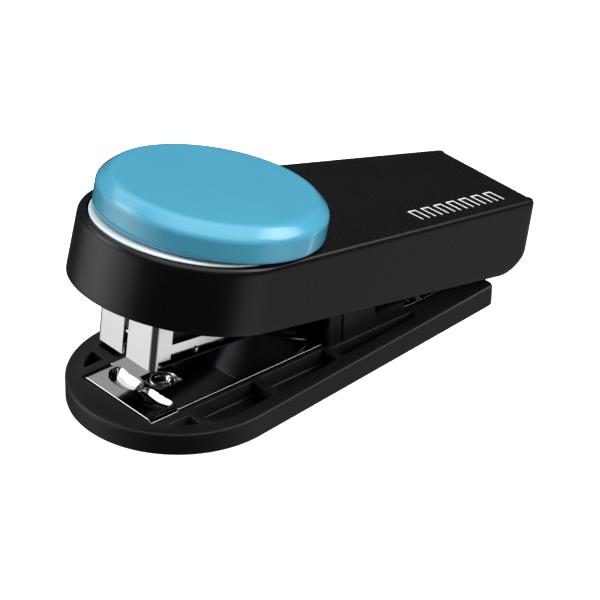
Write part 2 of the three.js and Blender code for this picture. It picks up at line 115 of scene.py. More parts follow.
def effectGroup(name, inputs, outputs):
    tree = bpy.data.node_groups.new(name, "ShaderNodeTree")
    for label, kind, value in inputs:
        socket = tree.interface.new_socket(label, in_out="INPUT", socket_type=kind)
        socket.default_value = value
    for label, kind in outputs:
        tree.interface.new_socket(label, in_out="OUTPUT", socket_type=kind)
    return tree, tree.nodes.new("NodeGroupInput"), tree.nodes.new("NodeGroupOutput")


def mathNode(tree, operation, a, b=None, clamp=False):
    node = tree.nodes.new("ShaderNodeMath")
    node.operation = operation
    node.use_clamp = clamp
    for index, value in enumerate((a, b)):
        if value is None:
            continue
        if isinstance(value, (int, float)):
            node.inputs[index].default_value = value
        else:
            linkTo(tree, value, node.inputs[index])
    return node.outputs[0]


# Two values added, each by its own share.
def weigh(tree, a, shareA, b, shareB):
    first = mathNode(tree, "MULTIPLY", a, shareA)
    second = mathNode(tree, "MULTIPLY", b, shareB)
    return mathNode(tree, "ADD", first, second)


def noiseNode(tree, vector, scale, detail=2.0, rough=0.5):
    node = tree.nodes.new("ShaderNodeTexNoise")
    linkTo(tree, vector, node.inputs["Vector"])
    if isinstance(scale, (int, float)):
        node.inputs["Scale"].default_value = scale
    else:
        linkTo(tree, scale, node.inputs["Scale"])
    node.inputs["Detail"].default_value = detail
    node.inputs["Roughness"].default_value = rough
    return node.outputs["Fac"]


def spread(tree, value, low, high):
    node = tree.nodes.new("ShaderNodeMapRange")
    linkTo(tree, value, node.inputs["Value"])
    for label, limit in (("To Min", low), ("To Max", high)):
        if isinstance(limit, (int, float)):
            node.inputs[label].default_value = limit
        else:
            linkTo(tree, limit, node.inputs[label])
    node.inputs["From Min"].default_value = 0.3
    node.inputs["From Max"].default_value = 0.7
    return node.outputs["Result"]


# Fine spark-eroded mould texture, with the slow change of gloss that handling leaves.
def buildMouldGrain():
    tree, given, out = effectGroup(
        "mouldGrain",
        [
            ("Vector", "NodeSocketVector", (0, 0, 0)),
            ("Grain Scale", "NodeSocketFloat", 5200.0),
            ("Cloud Scale", "NodeSocketFloat", 95.0),
            ("Rough Low", "NodeSocketFloat", 0.3),
            ("Rough High", "NodeSocketFloat", 0.4),
        ],
        [("Height", "NodeSocketFloat"), ("Roughness", "NodeSocketFloat"), ("Cloud", "NodeSocketFloat")],
    )
    vector = given.outputs["Vector"]
    fine = noiseNode(tree, vector, given.outputs["Grain Scale"], 3.0, 0.6)
    coarse = noiseNode(tree, vector, mathNode(tree, "MULTIPLY", given.outputs["Grain Scale"], 0.23))
    height = weigh(tree, fine, 0.6, coarse, 0.4)
    cloud = noiseNode(tree, vector, given.outputs["Cloud Scale"], 4.0, 0.55)
    mixed = weigh(tree, cloud, 0.7, fine, 0.3)
    gloss = spread(tree, mixed, given.outputs["Rough Low"], given.outputs["Rough High"])
    linkTo(tree, height, out.inputs["Height"])
    linkTo(tree, gloss, out.inputs["Roughness"])
    linkTo(tree, spread(tree, cloud, 0.0, 1.0), out.inputs["Cloud"])
    return tree


# Long scratches from rolling and brushing, drawn out along one direction by the Stretch input.
def buildBrushing():
    tree, given, out = effectGroup(
        "brushing",
        [
            ("Vector", "NodeSocketVector", (0, 0, 0)),
            ("Stretch", "NodeSocketVector", (9000.0, 300.0, 9000.0)),
            ("Rough Low", "NodeSocketFloat", 0.12),
            ("Rough High", "NodeSocketFloat", 0.24),
        ],
        [("Height", "NodeSocketFloat"), ("Roughness", "NodeSocketFloat"), ("Tone", "NodeSocketFloat")],
    )
    scaled = tree.nodes.new("ShaderNodeVectorMath")
    scaled.operation = "MULTIPLY"
    linkTo(tree, given.outputs["Vector"], scaled.inputs[0])
    linkTo(tree, given.outputs["Stretch"], scaled.inputs[1])
    lines = noiseNode(tree, scaled.outputs[0], 1.0, 3.0, 0.65)
    stain = noiseNode(tree, given.outputs["Vector"], 160.0, 3.0, 0.5)
    mixed = weigh(tree, lines, 0.65, stain, 0.35)
    gloss = spread(tree, mixed, given.outputs["Rough Low"], given.outputs["Rough High"])
    linkTo(tree, lines, out.inputs["Height"])
    linkTo(tree, gloss, out.inputs["Roughness"])
    linkTo(tree, spread(tree, mixed, 0.0, 1.0), out.inputs["Tone"])
    return tree


# Worn edges that also carry a painted highlight: the edge attribute of a piece, broken up by noise.
def buildEdgeWearAndSheen():
    tree, given, out = effectGroup(
        "edgeWearAndSheen",
        [("Vector", "NodeSocketVector", (0, 0, 0)), ("Amount", "NodeSocketFloat", 0.6)],
        [("Mask", "NodeSocketFloat")],
    )
    attribute = tree.nodes.new("ShaderNodeAttribute")
    attribute.attribute_name = "edgeWearAndSheen"
    patch = noiseNode(tree, given.outputs["Vector"], 700.0, 4.0, 0.6)
    broken = mathNode(tree, "MULTIPLY", attribute.outputs["Fac"], spread(tree, patch, 0.35, 1.0))
    scaledMask = mathNode(tree, "MULTIPLY", broken, given.outputs["Amount"], clamp=True)
    linkTo(tree, scaledMask, out.inputs["Mask"])
    return tree


mouldGrain = buildMouldGrain()
brushing = buildBrushing()
edgeWearAndSheen = buildEdgeWearAndSheen()


# Materials.
def startMaterial(name, settings):
    material = bpy.data.materials.new(name)
    material.use_nodes = True
    tree = material.node_tree
    shader = tree.nodes["Principled BSDF"]
    for label, value in settings.items():
        shader.inputs[label].default_value = value
    coordinates = tree.nodes.new("ShaderNodeTexCoord")
    return material, tree, shader, coordinates.outputs["Object"]


def placeGroup(tree, group, values, vector):
    node = tree.nodes.new("ShaderNodeGroup")
    node.node_tree = group
    linkTo(tree, vector, node.inputs["Vector"])
    for label, value in values.items():
        node.inputs[label].default_value = value
    return node


def mixColours(tree, factor, a, b):
    node = tree.nodes.new("ShaderNodeMix")
    node.data_type = "RGBA"
    linkTo(tree, factor, node.inputs["Factor"])
    for index, value in ((6, a), (7, b)):
        if isinstance(value, tuple):
            node.inputs[index].default_value = (*value, 1)
        else:
            linkTo(tree, value, node.inputs[index])
    return node.outputs[2]


def bumpFrom(tree, height, shader, strength, distance):
    node = tree.nodes.new("ShaderNodeBump")
    node.inputs["Strength"].default_value = strength
    node.inputs["Distance"].default_value = distance
    linkTo(tree, height, node.inputs["Height"])
    linkTo(tree, node.outputs["Normal"], shader.inputs["Normal"])


def plastic(name, dark, light, wornAndSheen, rough, grain, bump, wearAndSheen=0.5, **settings):
    material, tree, shader, vector = startMaterial(name, settings)
    skin = placeGroup(tree, mouldGrain, {
        "Grain Scale": grain,
        "Rough Low": rough[0],
        "Rough High": rough[1],
    }, vector)
    edge = placeGroup(tree, edgeWearAndSheen, {"Amount": wearAndSheen}, vector)
    body = mixColours(tree, skin.outputs["Cloud"], dark, light)
    # Edges take the lighter edge colour: partly wear, partly a painted highlight line along the edges.
    linkTo(tree, mixColours(tree, edge.outputs["Mask"], body, wornAndSheen), shader.inputs["Base Color"])
    rubbed = mathNode(tree, "SUBTRACT", 1.0, mathNode(tree, "MULTIPLY", edge.outputs["Mask"], 0.55))
    gloss = mathNode(tree, "MULTIPLY", skin.outputs["Roughness"], rubbed)
    linkTo(tree, gloss, shader.inputs["Roughness"])
    bumpFrom(tree, skin.outputs["Height"], shader, bump, 0.00002)
    return material


def metal(name, dark, light, rough, stretch, bump, **settings):
    material, tree, shader, vector = startMaterial(name, {"Metallic": 1.0, **settings})
    marks = placeGroup(tree, brushing, {
        "Stretch": stretch,
        "Rough Low": rough[0],
        "Rough High": rough[1],
    }, vector)
    linkTo(tree, mixColours(tree, marks.outputs["Tone"], dark, light), shader.inputs["Base Color"])
    linkTo(tree, marks.outputs["Roughness"], shader.inputs["Roughness"])
    bumpFrom(tree, marks.outputs["Height"], shader, bump, 0.00001)
    return material


blackCover = plastic(
    "satinBlackCover", (0.0024, 0.0024, 0.0025), (0.0031, 0.0031, 0.0032), (0.014, 0.014, 0.015),
    (0.25, 0.3), 5200.0, 0.035, 0.5, **{"IOR": 1.47},
)
blackBase = plastic(
    "satinBlackBase", (0.0045, 0.0045, 0.0047), (0.0062, 0.0062, 0.0064), (0.03, 0.03, 0.031),
    (0.42, 0.52), 4200.0, 0.08, 0.9, **{"IOR": 1.43},
)
darkPlastic = plastic(
    "darkInsertPlastic", (0.006, 0.006, 0.007), (0.01, 0.01, 0.011), (0.03, 0.03, 0.031),
    (0.4, 0.55), 3600.0, 0.12, 0.5, **{"IOR": 1.45},
)
capBlue = plastic(
    "glossyBlueCap", (0.07, 0.342, 0.495), (0.074, 0.354, 0.51), (0.084, 0.374, 0.53),
    (0.13, 0.17), 900.0, 0.012, 0.3, **{"IOR": 1.5, "Coat Weight": 0.6, "Coat Roughness": 0.08},
)
ringWhite = plastic(
    "whiteRingPlastic", (0.72, 0.8, 0.83), (0.76, 0.83, 0.86), (0.8, 0.86, 0.88),
    (0.3, 0.4), 3000.0, 0.05, 0.3, **{"IOR": 1.46},
)
soleRubber = plastic(
    "soleRubber", (0.012, 0.012, 0.012), (0.02, 0.02, 0.02), (0.035, 0.035, 0.035),
    (0.75, 0.9), 1500.0, 0.5, 0.4, **{"IOR": 1.42},
)
plateSteel = metal(
    "polishedPlateSteel", (0.62, 0.62, 0.63), (0.72, 0.72, 0.73),
    (0.04, 0.08), (300.0, 7000.0, 7000.0), 0.02,
)
channelSteel = metal(
    "brightChannelSteel", (0.74, 0.745, 0.75), (0.83, 0.83, 0.835),
    (0.1, 0.18), (8000.0, 260.0, 8000.0), 0.06,
)
brushedSteel = metal(
    "brushedSteel", (0.5, 0.5, 0.51), (0.62, 0.62, 0.63),
    (0.22, 0.36), (7000.0, 240.0, 7000.0), 0.18,
)
springSteel = metal(
    "springSteel", (0.42, 0.43, 0.45), (0.56, 0.56, 0.58),
    (0.18, 0.3), (5000.0, 5000.0, 900.0), 0.1,
)
# Dark steel for the return leaf: painted shade, kept dark so that the leaf reads as the shadow under the
# magazine.
leafSteel = metal(
    "shadeDarkLeafSteel", (0.07, 0.072, 0.08), (0.11, 0.113, 0.125),
    (0.16, 0.26), (5000.0, 300.0, 5000.0), 0.05,
)
printInk = plastic(
    "printInk", (0.78, 0.78, 0.78), (0.84, 0.84, 0.84), (0.86, 0.86, 0.86),
    (0.4, 0.5), 6000.0, 0.05, 0.2, **{"IOR": 1.45},
)
print("materials ready")


# Mesh helpers, in millimetres.
def newPiece(name, bm):
    bmesh.ops.remove_doubles(bm, verts=bm.verts, dist=1e-5)
    bmesh.ops.recalc_face_normals(bm, faces=bm.faces)
    mesh = bpy.data.meshes.new(name)
    bm.to_mesh(mesh)
    bm.free()
    piece = bpy.data.objects.new(name, mesh)
    scene.collection.objects.link(piece)
    return piece


# Rings of points joined in turn, with a flat face at each end.
def loft(name, rings):
    bm = bmesh.new()
    made = [[bm.verts.new(p) for p in ring] for ring in rings]
    count = len(rings[0])
    for low, high in zip(made, made[1:]):
        for i in range(count):
            j = (i + 1) % count
            bm.faces.new((low[i], low[j], high[j], high[i]))
    bm.faces.new(made[0][::-1])
    bm.faces.new(made[-1])
    return newPiece(name, bm)


# A lathe about a vertical axis. A profile that ends where it starts makes a ring.
def turned(name, profile, steps=96, centre=(0, 0)):
    bm = bmesh.new()
    rings = []
    for r, z in profile:
        if r < 1e-6:
            rings.append([bm.verts.new((centre[0], centre[1], z))])
            continue
        rings.append([
            bm.verts.new((
                centre[0] + r * math.cos(2 * math.pi * i / steps),
                centre[1] + r * math.sin(2 * math.pi * i / steps),
                z,
            ))
            for i in range(steps)
        ])
    for low, high in zip(rings, rings[1:]):
        if len(low) == 1 and len(high) == 1:
            continue
        for i in range(steps):
            j = (i + 1) % steps
            if len(low) == 1:
                bm.faces.new((low[0], high[j], high[i]))
            elif len(high) == 1:
                bm.faces.new((low[i], low[j], high[0]))
            else:
                bm.faces.new((low[i], low[j], high[j], high[i]))
    return newPiece(name, bm)


# A flat polygon carried along an axis: "z" takes (x, y) points and "x" takes (y, z) points.
def prism(name, points, low, high, axis="z"):
    bm = bmesh.new()
    ends = []
    for level in (low, high):
        ring = [(a, b, level) if axis == "z" else (level, a, b) for a, b in points]
        ends.append([bm.verts.new(p) for p in ring])
    count = len(points)
    for i in range(count):
        j = (i + 1) % count
        bm.faces.new((ends[0][i], ends[0][j], ends[1][j], ends[1][i]))
    bm.faces.new(ends[0][::-1])
    bm.faces.new(ends[1])
    return newPiece(name, bm)


def box(x0, x1, y0, y1, z0, z1):
    return prism("tool", [(x0, y0), (x1, y0), (x1, y1), (x0, y1)], z0, z1)


def rod(axis, radius, start, end, p, q, steps=64):
    turns = [2 * math.pi * i / steps for i in range(steps)]
    circle = [(p + radius * math.cos(a), q + radius * math.sin(a)) for a in turns]
    return prism("tool", circle, start, end, axis)


def bake(piece):
    graph = bpy.context.evaluated_depsgraph_get()
    mesh = bpy.data.meshes.new_from_object(
        piece.evaluated_get(graph), preserve_all_data_layers=True, depsgraph=graph,
    )
    piece.modifiers.clear()
    piece.data = mesh
    return piece


def combine(piece, operation, tools):
    for tool in tools:
        modifier = piece.modifiers.new("combine", "BOOLEAN")
        modifier.operation = operation
        modifier.solver = "EXACT"
        modifier.object = tool
        bake(piece)
        bpy.data.objects.remove(tool)
    return piece


def carve(piece, *tools):
    return combine(piece, "DIFFERENCE", tools)


def weld(piece, *tools):
    return combine(piece, "UNION", tools)


def keep(piece, *tools):
    return combine(piece, "INTERSECT", tools)


# Joins coplanar faces again and rounds every edge sharper than the angle.
def soften(piece, width, segments=2, angle=32):
    bm = bmesh.new()
    bm.from_mesh(piece.data)
    bmesh.ops.remove_doubles(bm, verts=bm.verts, dist=2e-4)
    bmesh.ops.dissolve_limit(bm, angle_limit=math.radians(0.6), verts=bm.verts, edges=bm.edges)
    bm.to_mesh(piece.data)
    bm.free()
    modifier = piece.modifiers.new("soften", "BEVEL")
    modifier.width = width
    modifier.segments = segments
    modifier.limit_method = "ANGLE"
    modifier.angle_limit = math.radians(angle)
    modifier.use_clamp_overlap = True
    return bake(piece)


# A merged copy of a node of the frame, brought back to its own group's millimetres.
def copyOfNode(name, node, place):
    mesh = nodes[node].data.copy()
    mesh.transform(place.inverted())
    bm = bmesh.new()
    bm.from_mesh(mesh)
    return newPiece(name, bm)


edgeTurn = {"least": 0.03, "span": 0.2}


# How far the surface turns within a short reach, so that edges can carry wear and a painted highlight.
def markEdges(mesh, reach):
    tree = KDTree(len(mesh.polygons))
    for index, face in enumerate(mesh.polygons):
        tree.insert(face.center, index)
    tree.balance()
    normals = [face.normal.copy() for face in mesh.polygons]
    areas = [face.area for face in mesh.polygons]
    attribute = mesh.attributes.new("edgeWearAndSheen", "FLOAT", "POINT")
    values = []
    for vertex in mesh.vertices:
        total = Vector()
        weight = 0.0
        for _, index, _ in tree.find_range(vertex.co, reach):
            total += normals[index] * areas[index]
            weight += areas[index]
        turn = 1 - total.length / weight if weight > 0 else 0.0
        values.append(min(1.0, max(0.0, (turn - edgeTurn["least"]) / edgeTurn["span"])))
    attribute.data.foreach_set("value", values)


def finishPiece(piece, body, material, place, replaced=(), sharp=32, weighted=True, wearAndSheen=0.0):
    mesh = piece.data
    mesh.transform(place)
    mesh.materials.clear()
    mesh.materials.append(material)
    bm = bmesh.new()
    bm.from_mesh(mesh)
    for face in bm.faces:
        face.smooth = True
        face.material_index = 0
    limit = math.radians(sharp)
    for edge in bm.edges:
        edge.smooth = edge.is_manifold and edge.calc_face_angle(0) < limit
    bm.to_mesh(mesh)
    bm.free()
    if wearAndSheen:
        markEdges(mesh, wearAndSheen * mm)
    if weighted:
        modifier = piece.modifiers.new("weighted", "WEIGHTED_NORMAL")
        modifier.keep_sharp = True
        modifier.weight = 60
        bake(piece)
    if body:
        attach(piece, body)
    if replaced:
        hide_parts(*replaced)
    return piece


def arc(cx, cy, radius, start, end, steps):
    angles = [math.radians(start + (end - start) * i / steps) for i in range(steps + 1)]
    return [(cx + radius * math.cos(a), cy + radius * math.sin(a)) for a in angles]


def smoothstep(value, low, high):
    t = min(1.0, max(0.0, (value - low) / (high - low)))
    return t * t * (3 - 2 * t)


# Plan of base and cover: round nose, straight flanks, square rear with rounded corners.
# Each point comes with its outward normal.
class Plan:
    def __init__(self, radius, rearHalf, length, corner, tail=5.6, noseSteps=112, cornerSteps=18):
        reach = math.hypot(rearHalf, length)
        phi = math.atan2(length, rearHalf) - math.acos(radius / reach)
        self.radius = radius
        self.phi = phi
        cy = length - corner
        cx = (radius - corner - cy * math.sin(phi)) / math.cos(phi)
        start = (radius * math.cos(phi), radius * math.sin(phi))
        end = (cx + corner * math.cos(phi), cy + corner * math.sin(phi))
        right = []
        tailShare = 1 - tail / (end[1] - start[1])
        shares = [tailShare * i / 10 for i in range(10)]
        shares += [tailShare + (1 - tailShare) * i / 16 for i in range(16)]
        for t in shares:
            right.append((
                start[0] + (end[0] - start[0]) * t,
                start[1] + (end[1] - start[1]) * t,
                math.cos(phi),
                math.sin(phi),
            ))
        for i in range(cornerSteps + 1):
            a = phi + (math.pi / 2 - phi) * i / cornerSteps
            n = (math.cos(a), math.sin(a))
            right.append((cx + corner * n[0], cy + corner * n[1], *n))
        left = [(-x, y, -nx, ny) for x, y, nx, ny in reversed(right)]
        nose = []
        for i in range(1, noseSteps):
            a = math.pi - phi + (math.pi + 2 * phi) * i / noseSteps
            n = (math.cos(a), math.sin(a))
            nose.append((radius * n[0], radius * n[1], *n))
        self.points = right + left + nose

    def ring(self, inset, height, shift=0.0):
        made = []
        for x, y, nx, ny in self.points:
            d = inset(y + shift, ny) if callable(inset) else inset
            z = height(y + shift, ny) if callable(height) else height
            made.append((x - nx * d, y - ny * d + shift, z))
        return made

    # Half the width at a distance from the nose's centre, inside the outline by an inset.
    def half(self, y, inset):
        r = self.radius - inset
        if y < r * math.sin(self.phi):
            return math.sqrt(max(0.0, r * r - y * y))
        return (r - y * math.sin(self.phi)) / math.cos(self.phi)


# Base.
base = {
    "radius": 13.6, "rearHalf": 9.6, "length": 43.3, "corner": 1.05,
    "height": 2.92, "foot": 0.06, "edge": 0.34, "rim": 2.15, "floor": 0.85, "lip": 0.13,
    "recessHalf": 6.65, "recessFront": -9.6, "recessRear": 38.6, "seat": 1.59,
    "wall": 7.2, "soleHalf": 6.85,
    # Step in from the wall, front and rear of each pocket.
    "pockets": ((0.85, -8.2, -5.0), (0, -3.7, 5.4), (0, 6.35, 16.4), (0.5, 17.4, 30.5)),
    # Thickness, front, rear and top of the parts of each guide post.
    "posts": (
        (0.62, 17.5, 19.45, 9.9), (0.4, 19.3, 19.9, 9.9), (0.72, 19.65, 24.9, 9.9), (0.6, 24.7, 29.9, 4.5),
    ),
}
basePlan = Plan(base["radius"], base["rearHalf"], base["length"], base["corner"])


# Rounds the corners of a polygon that turn by more than 20 degrees.
def roundCorners(points, radius, steps=5):
    made = []
    count = len(points)
    for i, (x, y) in enumerate(points):
        ax, ay = points[i - 1]
        bx, by = points[(i + 1) % count]
        u = Vector((ax - x, ay - y))
        v = Vector((bx - x, by - y))
        reach = min(u.length, v.length)
        turn = math.pi - u.angle(v)
        if turn < math.radians(20):
            made.append((x, y))
            continue
        run = radius * math.tan(turn / 2)
        if reach < 1:
            run = min(run, 0.45 * reach)
        p = u.normalized() * run
        q = v.normalized() * run
        for k in range(steps + 1):
            t = k / steps
            made.append((
                x + p.x * (1 - t) ** 2 + q.x * t ** 2,
                y + p.y * (1 - t) ** 2 + q.y * t ** 2,
            ))
    return made


def grow(points, distance):
    made = []
    count = len(points)
    area = sum(points[i - 1][0] * points[i][1] - points[i][0] * points[i - 1][1] for i in range(count))
    side = 1 if area > 0 else -1
    for i, (x, y) in enumerate(points):
        ax, ay = points[i - 1]
        bx, by = points[(i + 1) % count]
        u = Vector((x - ax, y - ay)).normalized()
        v = Vector((bx - x, by - y)).normalized()
        n = Vector((u.y + v.y, -u.x - v.x)) * side
        n.normalize()
        scale = distance / max(0.4, n.dot(Vector((u.y, -u.x)) * side))
        made.append((x + n.x * scale, y + n.y * scale))
    return made


# A cutter with a softly flared mouth at the surface.
def mouthCutter(points, floor, surface, lip):
    rings = []
    levels = [(-0.12, floor), (0.0, floor + 0.12), (0.0, surface - lip)]
    levels += [(lip * (1 - math.cos(a)), surface - lip + lip * math.sin(a)) for a in (0.5, 1.0, 1.5708)]
    levels.append((lip + 0.02, surface + 1.0))
    for distance, z in levels:
        rings.append([(x, y, z) for x, y in (grow(points, distance) if distance else points)])
    return loft("tool", rings)


def pocketPoints(side, inner, front, rear, radius=0.4):
    steps = max(3, int((rear - front) / 0.8))
    rim = []
    for i in range(steps + 1):
        y = front + (rear - front) * i / steps
        rim.append((basePlan.half(y, base["rim"]), y))
    points = [(inner, rear), (inner, front)] + rim
    points = roundCorners(points, radius)
    return [(side * x, y) for x, y in points]


def rectangle(x0, x1, y0, y1, radius, steps=6):
    return (
        arc(x1 - radius, y1 - radius, radius, 0, 90, steps)
        + arc(x0 + radius, y1 - radius, radius, 90, 180, steps)
        + arc(x0 + radius, y0 + radius, radius, 180, 270, steps)
        + arc(x1 - radius, y0 + radius, radius, 270, 360, steps)
    )


def buildBaseShell():
    top = base["height"]
    foot = base["foot"]
    edge = base["edge"]
    inner = base["recessHalf"]
    rings = [basePlan.ring(0.4, foot)]
    for a in (30, 60, 90):
        r = math.radians(a)
        rings.append(basePlan.ring(0.2 * (1 - math.sin(r)), foot + 0.2 * (1 - math.cos(r))))
    rings.append(basePlan.ring(0, top - edge - 0.4))
    for a in range(0, 91, 15):
        r = math.radians(a)
        rings.append(basePlan.ring(edge * (1 - math.cos(r)), top - edge + edge * math.sin(r)))
    rings.append(basePlan.ring(edge + 0.25, top))
    shell = loft("baseShell", rings)
    recess = rectangle(-inner, inner, base["recessFront"], base["recessRear"], 0.3)
    cutters = [mouthCutter(recess, base["seat"], top, 0.06)]
    for side in (1, -1):
        for step, front, rear in base["pockets"]:
            pocket = pocketPoints(side, base["wall"] + step, front, rear)
            cutters.append(mouthCutter(pocket, base["floor"], top, base["lip"]))
    carve(shell, *cutters)
    posts = []
    for side in (1, -1):
        for thick, front, rear, high in base["posts"]:
            xs = (inner, inner + thick) if side > 0 else (-inner - thick, -inner)
            posts.append(soften(box(*xs, front, rear, 1.2, high), 0.07, 2))
    weld(shell, *posts)
    slot = base["soleHalf"]
    carve(
        shell,
        prism("tool", rectangle(-slot, slot, -8.4, base["length"] - 3.6, 0.6), -1, base["seat"] - 0.75),
        rod("z", 1.1, -1, 4, 0, -2.7),
    )
    return finishPiece(
        shell, "base", blackBase, basePlace, ["base_shell"], sharp=26, wearAndSheen=0.35,
    )


buildBaseShell()


sole = {
    "inset": 0.1, "front": -8.1, "rearGap": 3.9, "corner": 0.5, "sink": 1.05,
    "grooves": 30, "firstGroove": -6.6, "pitch": 1.5, "wide": 0.55, "margin": 0.8, "deep": 0.16,
}


def buildSole():
    half = base["recessHalf"] - sole["inset"]
    outline = rectangle(-half, half, sole["front"], base["length"] - sole["rearGap"], sole["corner"])
    pad = prism("baseSole", outline, 0, base["seat"] - sole["sink"])
    grooves = []
    reach = half - sole["margin"]
    for i in range(sole["grooves"]):
        y = sole["firstGroove"] + sole["pitch"] * i
        grooves.append(box(-reach, reach, y, y + sole["wide"], -0.3, sole["deep"]))
    carve(pad, rod("z", 1.9, -1, 0.35, 0, 30), *grooves)
    soften(pad, 0.06, 1)
    return finishPiece(pad, "base", soleRubber, basePlace, ["base_sole"], wearAndSheen=0.3)


buildSole()
print("base ready")


# Anvil plate.
plate = {
    "half": 6.5, "front": -9.45, "rear": 38.3, "top": 3.09, "thick": 1.2, "edge": 0.09,
    "grooveX": 2.7, "grooveY": -6.6, "grooveLong": 2.72, "grooveFront": 1.08, "grooveRear": 1.6,
    "grooveDepth": 0.9, "grooveBend": (0.4, 0.9),
    "chamferHalf": 5.85, "chamferDrop": 0.3, "chamferEnd": -5.3, "fineEnd": -4.75,
    "rivetY": -2.7, "hole": 0.95, "holes": ((0, 20), (3, 35.6), (-3, 35.6)),
}


def grooveDepth(x, y):
    u = (abs(x) - plate["grooveX"]) / plate["grooveLong"]
    bend = plate["grooveY"] + u * u * plate["grooveBend"][0 if u < 0 else 1]
    v = y - bend
    v /= plate["grooveRear"] if v > 0 else plate["grooveFront"]
    width = math.sqrt(max(0.0, 1 - abs(u) ** 3.2))
    if width < 1e-6 or abs(v) >= width:
        return 0.0
    t = abs(v) / width
    wall = 1 - t ** 1.8
    lip = smoothstep(1 - t, 0.0, 0.1)
    return plate["grooveDepth"] * width * wall * lip


def plateHeight(x, y):
    z = plate["top"] - grooveDepth(x, y)
    out = abs(x) - plate["chamferHalf"]
    if out > 0:
        drop = plate["chamferDrop"] * out / (plate["half"] - plate["chamferHalf"])
        z -= drop * (1 - smoothstep(y, plate["chamferEnd"] - 0.12, plate["chamferEnd"] + 0.12))
    for distance in (plate["half"] - abs(x), y - plate["front"], plate["rear"] - y):
        if distance < plate["edge"]:
            run = plate["edge"] - distance
            z -= plate["edge"] - math.sqrt(max(0.0, plate["edge"] ** 2 - run ** 2))
    return z


def buildPlate():
    half = plate["half"]
    front = plate["front"]
    rear = plate["rear"]
    edge = plate["edge"]
    top = plate["top"]
    rounding = [edge * (1 - math.cos(math.radians(a))) for a in (0, 25, 50, 70, 90)]
    side = [-half + d for d in rounding]
    margin = side + [-half + 0.2, -half + 0.4, -plate["chamferHalf"]]
    fine = 110
    xs = list(margin)
    xs += [-plate["chamferHalf"] + 2 * plate["chamferHalf"] * i / fine for i in range(1, fine)]
    xs += [-x for x in reversed(margin)]
    ys = [front + d for d in rounding]
    rows = 52
    start = front + edge + 0.05
    ys += [start + (plate["fineEnd"] - start) * i / rows for i in range(rows + 1)]
    ys += [0.0, 6.0, 12.0, 20.0, 30.0] + [rear - d for d in reversed(rounding)]
    bm = bmesh.new()
    grid = [[bm.verts.new((x, y, plateHeight(x, y))) for x in xs] for y in ys]
    for j in range(len(ys) - 1):
        for i in range(len(xs) - 1):
            bm.faces.new((grid[j][i], grid[j][i + 1], grid[j + 1][i + 1], grid[j + 1][i]))
    loop = grid[0] + [row[-1] for row in grid[1:]] + grid[-1][-2::-1] + [row[0] for row in grid[-2:0:-1]]
    bottom = [bm.verts.new((v.co.x, v.co.y, top - plate["thick"])) for v in loop]
    count = len(loop)
    for i in range(count):
        j = (i + 1) % count
        bm.faces.new((loop[j], loop[i], bottom[i], bottom[j]))
    bm.faces.new(bottom)
    made = newPiece("anvilPlate", bm)
    sink = turned("tool", [
        (0, 0.5), (1.1, 0.5), (1.1, top - 0.75), (1.55, top - 0.72), (1.62, top - 0.3),
        (1.66, top - 0.14), (1.74, top - 0.05), (1.88, top), (2.0, top + 0.5), (0, top + 0.5),
    ], 72, (0, plate["rivetY"]))
    holes = [rod("z", plate["hole"], 0, 5, x, y) for x, y in plate["holes"]]
    carve(made, sink, *holes)
    return finishPiece(made, "base", plateSteel, basePlace, ["anvil_plate"], sharp=40)


buildPlate()


def buildAnvilRivet():
    top = plate["top"]
    rivet = turned("anvilRivet", [
        (0, 1.0), (0.8, 1.0), (0.8, top - 0.62), (1.42, top - 0.62), (1.5, top - 0.5), (1.5, top - 0.22),
        (1.44, top - 0.08), (1.32, top - 0.02), (1.18, top - 0.04), (1.05, top - 0.12), (0.95, top - 0.26),
        (0.85, top - 0.42), (0.6, top - 0.52), (0, top - 0.55),
    ], 72, (0, plate["rivetY"]))
    return finishPiece(
        rivet, "base", plateSteel, basePlace, ["anvil_rivet"], sharp=50, weighted=False,
    )


buildAnvilRivet()
print("plate ready")


# Rivets that repeat: one head, set along a line by Geometry Nodes.
def geometryTree(name, inputs):
    tree = bpy.data.node_groups.new(name, "GeometryNodeTree")
    face = tree.interface
    face.new_socket("Geometry", in_out="INPUT", socket_type="NodeSocketGeometry")
    for label, kind in inputs:
        face.new_socket(label, in_out="INPUT", socket_type="NodeSocket" + kind)
    face.new_socket("Geometry", in_out="OUTPUT", socket_type="NodeSocketGeometry")
    return tree, tree.nodes.new("NodeGroupInput"), tree.nodes.new("NodeGroupOutput")


def repeatOn(tree, points, single):
    instance = tree.nodes.new("GeometryNodeInstanceOnPoints")
    linkTo(tree, points, instance.inputs["Points"])
    linkTo(tree, single, instance.inputs["Instance"])
    return instance.outputs["Instances"]


# The end of each tree: instances become real and take the material.
def endTree(tree, geometry, material, out):
    real = tree.nodes.new("GeometryNodeRealizeInstances")
    paint = tree.nodes.new("GeometryNodeSetMaterial")
    linkTo(tree, geometry, real.inputs["Geometry"])
    linkTo(tree, real.outputs["Geometry"], paint.inputs["Geometry"])
    linkTo(tree, material, paint.inputs["Material"])
    linkTo(tree, paint.outputs["Geometry"], out.inputs["Geometry"])


def rivetRowTree():
    tree, given, out = geometryTree("rivetRow", (
        ("Rivet", "Object"), ("Count", "Int"), ("Start", "Vector"), ("Step", "Vector"),
        ("Material", "Material"),
    ))
    line = tree.nodes.new("GeometryNodeMeshLine")
    line.mode = "OFFSET"
    source = tree.nodes.new("GeometryNodeObjectInfo")
    linkTo(tree, given.outputs["Count"], line.inputs["Count"])
    linkTo(tree, given.outputs["Start"], line.inputs["Start Location"])
    linkTo(tree, given.outputs["Step"], line.inputs["Offset"])
    linkTo(tree, given.outputs["Rivet"], source.inputs["Object"])
    row = repeatOn(tree, line.outputs["Mesh"], source.outputs["Geometry"])
    endTree(tree, row, given.outputs["Material"], out)
    return tree


